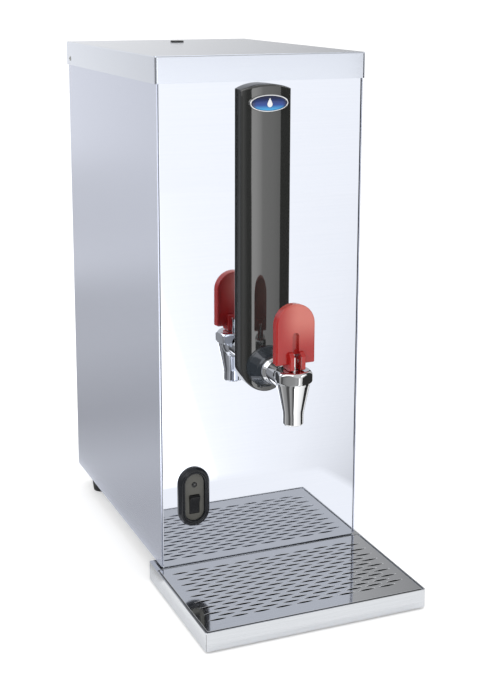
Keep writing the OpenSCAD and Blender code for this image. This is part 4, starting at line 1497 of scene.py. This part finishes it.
@dataclass(frozen=True)
class ShadedHollowSteel(Steel):
    """Steel with painted shade: what lies inside its walls and below its top is painted dark, where shade
    falls.
    """

    part: str = ""
    inner: float = 0.0
    below: float = 0.0
    # Colour of the painted shade in the hollows.
    hollow_shade: Colour = (0.04, 0.042, 0.047)

    def tint(self, shader: Shader, colour: bpy.types.NodeSocket) -> bpy.types.NodeSocket:
        """Paints shade: darkens what lies inside the part's walls and below its top.

        Args:
            shader: The material being built.
            colour: The steel's colour.

        Returns:
            The colour with painted shade in the hollows.
        """
        side = high(self.part).x - self.inner
        parts = shader.coordinates()
        tests = (
            shader.maths("LESS_THAN", parts["X"], side), shader.maths("GREATER_THAN", parts["X"], -side),
            shader.maths("GREATER_THAN", parts["Y"], low(self.part).y + self.inner),
            shader.maths("LESS_THAN", parts["Z"], high(self.part).z - self.below),
        )
        inside = tests[0]
        for test in tests[1:]:
            inside = shader.maths("MULTIPLY", inside, test)
        # Painted shade: everything inside the walls and below the top takes the shade colour.
        return shader.blend(inside, colour, self.hollow_shade)


@dataclass(frozen=True)
class LeverPlastic(Plastic):
    """Red plastic with a painted highlight: paler towards the top and middle of the paddle."""

    # Colour of the painted highlight.
    highlight_colour: Colour = (0.62, 0.17, 0.135)

    def tint(self, shader: Shader, colour: bpy.types.NodeSocket) -> bpy.types.NodeSocket:
        """Paints a highlight: pales the colour from the pin up and towards the middle.

        Args:
            shader: The material being built.
            colour: The plastic's colour.

        Returns:
            The colour with the painted highlight on the upper paddle.
        """
        parts = shader.coordinates()
        top, side = high("tap_lever").z, low("tap_lever").x
        rise = shader.between(parts["Z"], top - 45 * MM, top - 12 * MM)
        across = shader.between(parts["X"], side + 2 * MM, 4 * MM)
        # Painted highlight: the upper middle of the paddle blends towards the highlight colour.
        return shader.blend(shader.maths("MULTIPLY", rise, across), colour, self.highlight_colour)


FINISHES: tuple[Steel | Plastic | BadgeEnamel, ...] = (
    Steel("mirror_steel", (0.86, 0.89, 0.97), (0.83, 0.865, 0.95), (0.015, 0.05), Spread.ALONG_X,
          500.0, 0.0000006, smudge=0.2),
    Steel("satin_steel", (0.76, 0.80, 0.94), (0.72, 0.76, 0.89), (0.22, 0.30), Spread.ALONG_Y, 1100.0,
          0.000001, smudge=0.25),
    Steel("bright_lid", (0.85, 0.89, 0.98), (0.79, 0.83, 0.93), (0.16, 0.26), Spread.ALONG_X, 1100.0,
          0.000002, smudge=0.25, dust=0.04),
    Steel("rear_steel", (0.60, 0.61, 0.63), (0.50, 0.51, 0.53), (0.28, 0.42), Spread.ALONG_Z, 800.0,
          0.000004, smudge=0.4, dust=0.08),
    # tray_steel paints shade: the pan's inside below its rim is painted dark grey.
    ShadedHollowSteel("tray_steel", (0.76, 0.78, 0.81), (0.68, 0.70, 0.73), (0.18, 0.28), Spread.ALONG_X,
                 1100.0, 0.000002, smudge=0.3, dust=0.03, part="tray_pan", inner=0.6 * MM, below=1.6 * MM,
                 hollow_shade=(0.17, 0.175, 0.185)),
    # grille_steel paints shade: the slot walls and everything below the grille's top face are painted near
    # black.
    ShadedHollowSteel("grille_steel", (0.88, 0.90, 0.94), (0.84, 0.86, 0.90), (0.05, 0.12), Spread.ALONG_X,
                 900.0, 0.0000015, smudge=0.3, dust=0.02, part="tray_grille", inner=-1 * MM, below=0.25 * MM),
    Steel("inner_stainless", (0.62, 0.62, 0.63), (0.52, 0.52, 0.53), (0.25, 0.40), Spread.EVEN, 700.0,
          0.000005),
    Steel("zinc_fasteners", (0.66, 0.67, 0.66), (0.52, 0.53, 0.50), (0.22, 0.38), Spread.EVEN, 1200.0,
          0.000004, smudge=0.5),
    Steel("brass", (0.76, 0.58, 0.28), (0.60, 0.44, 0.20), (0.20, 0.34), Spread.EVEN, 1200.0, 0.000004),
    Steel("chrome", (0.90, 0.91, 0.92), (0.86, 0.87, 0.885), (0.015, 0.05), Spread.EVEN, 900.0,
          0.0000008, smudge=0.3),
    Steel("spring_steel", (0.62, 0.62, 0.63), (0.46, 0.46, 0.47), (0.18, 0.30), Spread.EVEN, 1500.0,
          0.000003),
    Plastic("column_plastic", (0.024, 0.025, 0.024), (0.06, 0.06, 0.06), (0.05, 0.09), 1600.0,
            0.0000015, ior=1.95, dust=0.01),
    Plastic("escutcheon_plastic", (0.015, 0.021, 0.028), (0.06, 0.07, 0.08), (0.08, 0.14), 1600.0,
            0.000002, coat=0.5, dust=0.02),
    # lever_plastic paints a highlight on the upper middle of the paddle.
    LeverPlastic("lever_plastic", (0.40, 0.013, 0.012), (0.56, 0.05, 0.042), (0.20, 0.30), 1800.0,
                 0.000004, coat=0.4, subsurface=0.04, dust=0.01, mottle=0.05),
    Plastic("bezel_plastic", (0.010, 0.012, 0.016), (0.05, 0.055, 0.065), (0.20, 0.28), 2400.0,
            0.000005, dust=0.01),
    Plastic("switch_face", (0.095, 0.094, 0.082), (0.14, 0.14, 0.13), (0.30, 0.40), 2400.0, 0.000008,
            dust=0.01),
    Plastic("rocker_plastic", (0.006, 0.0065, 0.008), (0.05, 0.05, 0.052), (0.22, 0.32), 2600.0,
            0.000006, dust=0.02),
    Plastic("black_plastic", (0.018, 0.018, 0.018), (0.06, 0.06, 0.06), (0.35, 0.50), 2200.0, 0.00001,
            dust=0.08),
    Plastic("valve_plastic", (0.74, 0.74, 0.71), (0.82, 0.82, 0.80), (0.35, 0.45), 1500.0, 0.000006,
            subsurface=0.05),
    BadgeEnamel(),
    Plastic("lamp_lens", (0.010, 0.011, 0.012), (0.03, 0.03, 0.03), (0.04, 0.08), 1400.0, 0.000001,
            coat=0.8, dust=0.0),
    Plastic("rubber", (0.020, 0.020, 0.021), (0.055, 0.055, 0.055), (0.62, 0.80), 1500.0, 0.00002,
            dust=0.2),
    Plastic("silicone", (0.74, 0.74, 0.72), (0.80, 0.80, 0.78), (0.35, 0.50), 1200.0, 0.000006,
            subsurface=0.2),
    Plastic("insulation", (0.60, 0.54, 0.33), (0.66, 0.60, 0.40), (0.85, 0.95), 700.0, 0.0004,
            mottle=0.35, dust=0.1),
    Plastic("circuit_board", (0.020, 0.16, 0.06), (0.10, 0.26, 0.12), (0.30, 0.42), 1800.0, 0.000006,
            mottle=0.2),
    Plastic("relay_plastic", (0.03, 0.12, 0.42), (0.08, 0.20, 0.52), (0.30, 0.40), 1800.0, 0.000006),
)


@dataclass
class Studio:
    """Camera, lights, floor and world."""

    eye: Point = (-0.481, -1.202, 0.582)
    yaw: float = math.radians(22.88)
    pitch: float = math.radians(11.49)
    roll: float = math.radians(0.16)
    lens: float = 67.08
    shift: float = -0.15
    surround: float = 0.9
    apron: float = 1.0
    mirrored: float = 0.55

    def camera(self) -> None:
        """Places the camera and makes it the scene's."""
        data = bpy.data.cameras.new("studio_camera")
        data.sensor_fit = "VERTICAL"
        data.sensor_height = 36.0
        data.lens = self.lens
        data.shift_y = self.shift
        data.clip_start = 0.05
        data.clip_end = 50.0
        made = bpy.data.objects.new("studio_camera", data)
        level = Vector((math.sin(self.yaw), math.cos(self.yaw), 0.0))
        ahead = level * math.cos(self.pitch) - Vector((0, 0, math.sin(self.pitch)))
        right = ahead.cross(Vector((0, 0, 1))).normalized()
        up = right.cross(ahead)
        turned_right = right * math.cos(self.roll) + up * math.sin(self.roll)
        turned_up = up * math.cos(self.roll) - right * math.sin(self.roll)
        pose = Matrix((turned_right, turned_up, -ahead)).transposed().to_4x4()
        pose.translation = Vector(self.eye)
        made.matrix_world = pose
        bpy.context.scene.collection.objects.link(made)
        bpy.context.scene.camera = made

    def softbox(self, name: str, place: Point, aim: Point, size: tuple[float, float], power: float) -> None:
        """Hangs a rectangular light that the camera doesn't see.

        Args:
            name: Name of the light.
            place: Its centre.
            aim: The point that it faces.
            size: Its width and height.
            power: Its power in watts.
        """
        data = bpy.data.lights.new(name, "AREA")
        data.shape = "RECTANGLE"
        data.size, data.size_y = size
        data.energy = power
        made = bpy.data.objects.new(name, data)
        made.location = place
        made.rotation_euler = (Vector(aim) - Vector(place)).to_track_quat("-Z", "Y").to_euler()
        made.visible_camera = False
        bpy.context.scene.collection.objects.link(made)

    def board(self, name: str, rows: Sequence[Sequence[Vector]], shades: Sequence[Sequence[float]]) -> None:
        """Stands a glowing studio board that only shows in reflections.

        Args:
            name: Name of the board.
            rows: Its points, row by row.
            shades: Its brightness at each point.
        """
        bm = bmesh.new()
        layer = bm.verts.layers.float.new("shade")
        grid = []
        for points, values in zip(rows, shades):
            line = []
            for point, value in zip(points, values):
                vert = bm.verts.new(point)
                vert[layer] = value
                line.append(vert)
            grid.append(line)
        for lower, upper in zip(grid, grid[1:]):
            for i in range(len(lower) - 1):
                bm.faces.new((lower[i], lower[i + 1], upper[i + 1], upper[i]))
        made = to_object(name, bm)
        glow = Shader(name, 0.0, 0.5)
        glow.surface.inputs["Base Color"].default_value = (0, 0, 0, 1)
        glow.surface.inputs["Specular IOR Level"].default_value = 0.0
        glow.surface.inputs["Emission Strength"].default_value = 1.0
        glow.feed(glow.node("ShaderNodeAttribute", attribute_name="shade").outputs["Fac"], "Emission Color")
        made.data.materials.append(glow.material)
        for flag in ("camera", "diffuse", "shadow", "transmission", "volume_scatter"):
            setattr(made, f"visible_{flag}", False)

    def screen(self, name: str, stops: Sequence[tuple[float, float]], lower: tuple[float, float],
               upper: tuple[float, float]) -> None:
        """Stands a curved board round the front of the column.

        Args:
            name: Name of the board.
            stops: (bearing in degrees from straight ahead to the right, brightness).
            lower: Distance and height of its lower edge; distance 0 follows the tray's outline.
            upper: Distance and height of its upper edge.
        """
        front = low("column_cover").y
        clear, endless, small = 8 * MM, 9.0, 1e-3
        wide = high("tray_pan").x + clear
        deep = front - low("tray_pan").y + clear

        def hug(a: float) -> float:
            """Distance from the column to just outside the tray at a bearing."""
            along = deep / math.cos(a) if math.cos(a) > 0.05 else endless
            return min(along, wide / max(abs(math.sin(a)), small))

        dense = []
        for (a, shade), (b, after) in zip(stops, stops[1:]):
            pieces = max(1, math.ceil((b - a) / 2))
            dense += [(a + (b - a) * k / pieces, shade + (after - shade) * k / pieces) for k in range(pieces)]
        stops = dense + [stops[-1]]
        angles = [math.radians(bearing) for bearing, _ in stops]
        shades = [shade for _, shade in stops]
        rows, tones = [], []
        for part, by_tray in ((0.0, True), (0.06, True), (0.075, False), (1.0, False)):
            reach = [(lower[0] or hug(a)) * (1 - part) + upper[0] * part for a in angles]
            height = lower[1] * (1 - part) + upper[1] * part
            bearings = zip(reach, angles)
            rows.append([Vector((r * math.sin(a), front - r * math.cos(a), height)) for r, a in bearings])
            tones.append([self.apron if by_tray and not lower[0] else shade for shade in shades])
        self.board(name, rows, tones)

    def floor(self) -> None:
        """Lays the pale floor."""
        reach = 12.0
        bm = bmesh.new()
        bm.faces.new([bm.verts.new(corner) for corner in
                      ((-reach, -reach, 0), (reach, -reach, 0), (reach, reach, 0), (-reach, reach, 0))])
        made = to_object("studio_floor", bm)
        shader = Shader("studio_floor", 0.0, 0.9)
        shader.surface.inputs["Specular IOR Level"].default_value = 0.0
        patches = shader.place(Effects.smudges, Scale=1.5)
        shader.feed(shader.blend(patches, (0.93, 0.93, 0.93), (0.94, 0.94, 0.94)), "Base Color")
        shader.surface.inputs["Emission Color"].default_value = (1, 1, 1, 1)
        ray = shader.node("ShaderNodeLightPath")
        shader.feed(shader.ramp(ray.outputs["Is Camera Ray"], 0.06, 0.30), "Emission Strength")
        made.data.materials.append(shader.material)

    def world(self) -> None:
        """Gives a pale surround that mirrors see as a dim studio."""
        made = bpy.data.worlds.new("studio_surround")
        made.use_nodes = True
        tree = made.node_tree
        back = tree.nodes["Background"]
        back.inputs["Color"].default_value = (1.0, 1.0, 1.0, 1.0)
        ray = tree.nodes.new("ShaderNodeLightPath")
        dim = tree.nodes.new("ShaderNodeMapRange")
        dim.inputs["To Min"].default_value = self.surround
        dim.inputs["To Max"].default_value = self.mirrored
        tree.links.new(ray.outputs["Is Glossy Ray"], dim.inputs["Value"])
        seen = tree.nodes.new("ShaderNodeMix")
        tree.links.new(ray.outputs["Is Camera Ray"], seen.inputs["Factor"])
        tree.links.new(dim.outputs[0], seen.inputs["A"])
        seen.inputs["B"].default_value = 1.1
        tree.links.new(seen.outputs["Result"], back.inputs["Strength"])
        bpy.context.scene.world = made

    def build(self) -> None:
        """Builds the whole studio."""
        scene = bpy.context.scene
        scene.view_settings.view_transform = "Standard"
        scene.view_settings.look = "None"
        self.camera()
        self.floor()
        self.world()
        self.softbox("key_left", (-1.5, -1.1, 1.7), (0, 0, 0.3), (1.2, 1.6), 9)
        self.softbox("fill_right", (2.0, -1.1, 1.2), (0, 0, 0.25), (1.0, 1.4), 4)
        self.softbox("top_rear", (0.2, 0.9, 2.2), (0, 0, 0.3), (1.6, 1.2), 7)
        stops = [
            (-100, 0.35), (-70, 0.25), (-62, 0.08), (-48, 0.08), (-42, 0.35), (-30, 0.3), (-22, 0.06),
            (-14, 0.05), (-12.5, 2.0), (-4, 1.9), (6, 1.5), (11, 1.13), (16, 1.08), (24, 1.03), (33, 0.99),
            (42, 0.9), (58, 0.7), (75, 0.5), (95, 0.8), (120, 0.9),
        ]
        self.screen("near_screen", stops, (0.0, 0.003), (1.0, 0.22))
        self.screen("column_flag", [(54, 0.03), (88, 0.03)], (0.25, 0.03), (0.25, 0.52))
        self.screen("far_screen", stops, (2.2, 0.0), (2.3, 0.5))
        self.board("rear_board",
                   [[Vector((x, 3.2, z)) for x in (-0.2, 0.7, 2.4, 3.6)] for z in (0.0, 0.72, 0.9, 2.6)],
                   [[1.0, 1.0, 0.5, 0.4]] * 2 + [[0.9, 0.7, 0.22, 0.2]] * 2)
        depths = ((-0.6, 0.55), (0.1, 0.46), (0.24, 0.53), (0.42, 0.40), (0.75, 0.52), (1.1, 0.50),
                  (1.35, 0.72), (1.7, 0.64), (2.9, 0.68))
        self.board("side_board", [[Vector((x, y, 0.002)) for x in (-2.4, -0.12)] for y, _ in depths],
                   [[shade, shade] for _, shade in depths])
        self.board("side_rear_board",
                   [[Vector((x, 3.0, z)) for x in (-3.4, -1.2, -0.8, -0.3)] for z in (0.0, 1.6)],
                   [[0.60, 0.64, 0.97, 0.97]] * 2)


def main() -> None:
    """Builds the dispenser's pieces and the studio."""
    logging.basicConfig(level=logging.INFO, format="%(message)s")
    Effects.build()
    finishes = {finish.name: finish.build() for finish in FINISHES}
    shop = Workshop(finishes)
    studio = Studio()
    studio.build()
    Cabinet(shop).build()
    column = Column(shop)
    column.build()
    Tap(shop, column).build()
    Switch(shop).build()
    DripTray(shop).build()
    shop.finish_rest()
    log.info("%d pieces stand for frame nodes, %d frame nodes keep their shape",
             len(shop.replaced), len(frame["nodes"]) - len(shop.replaced))


if __name__ == "__main__":
    main()
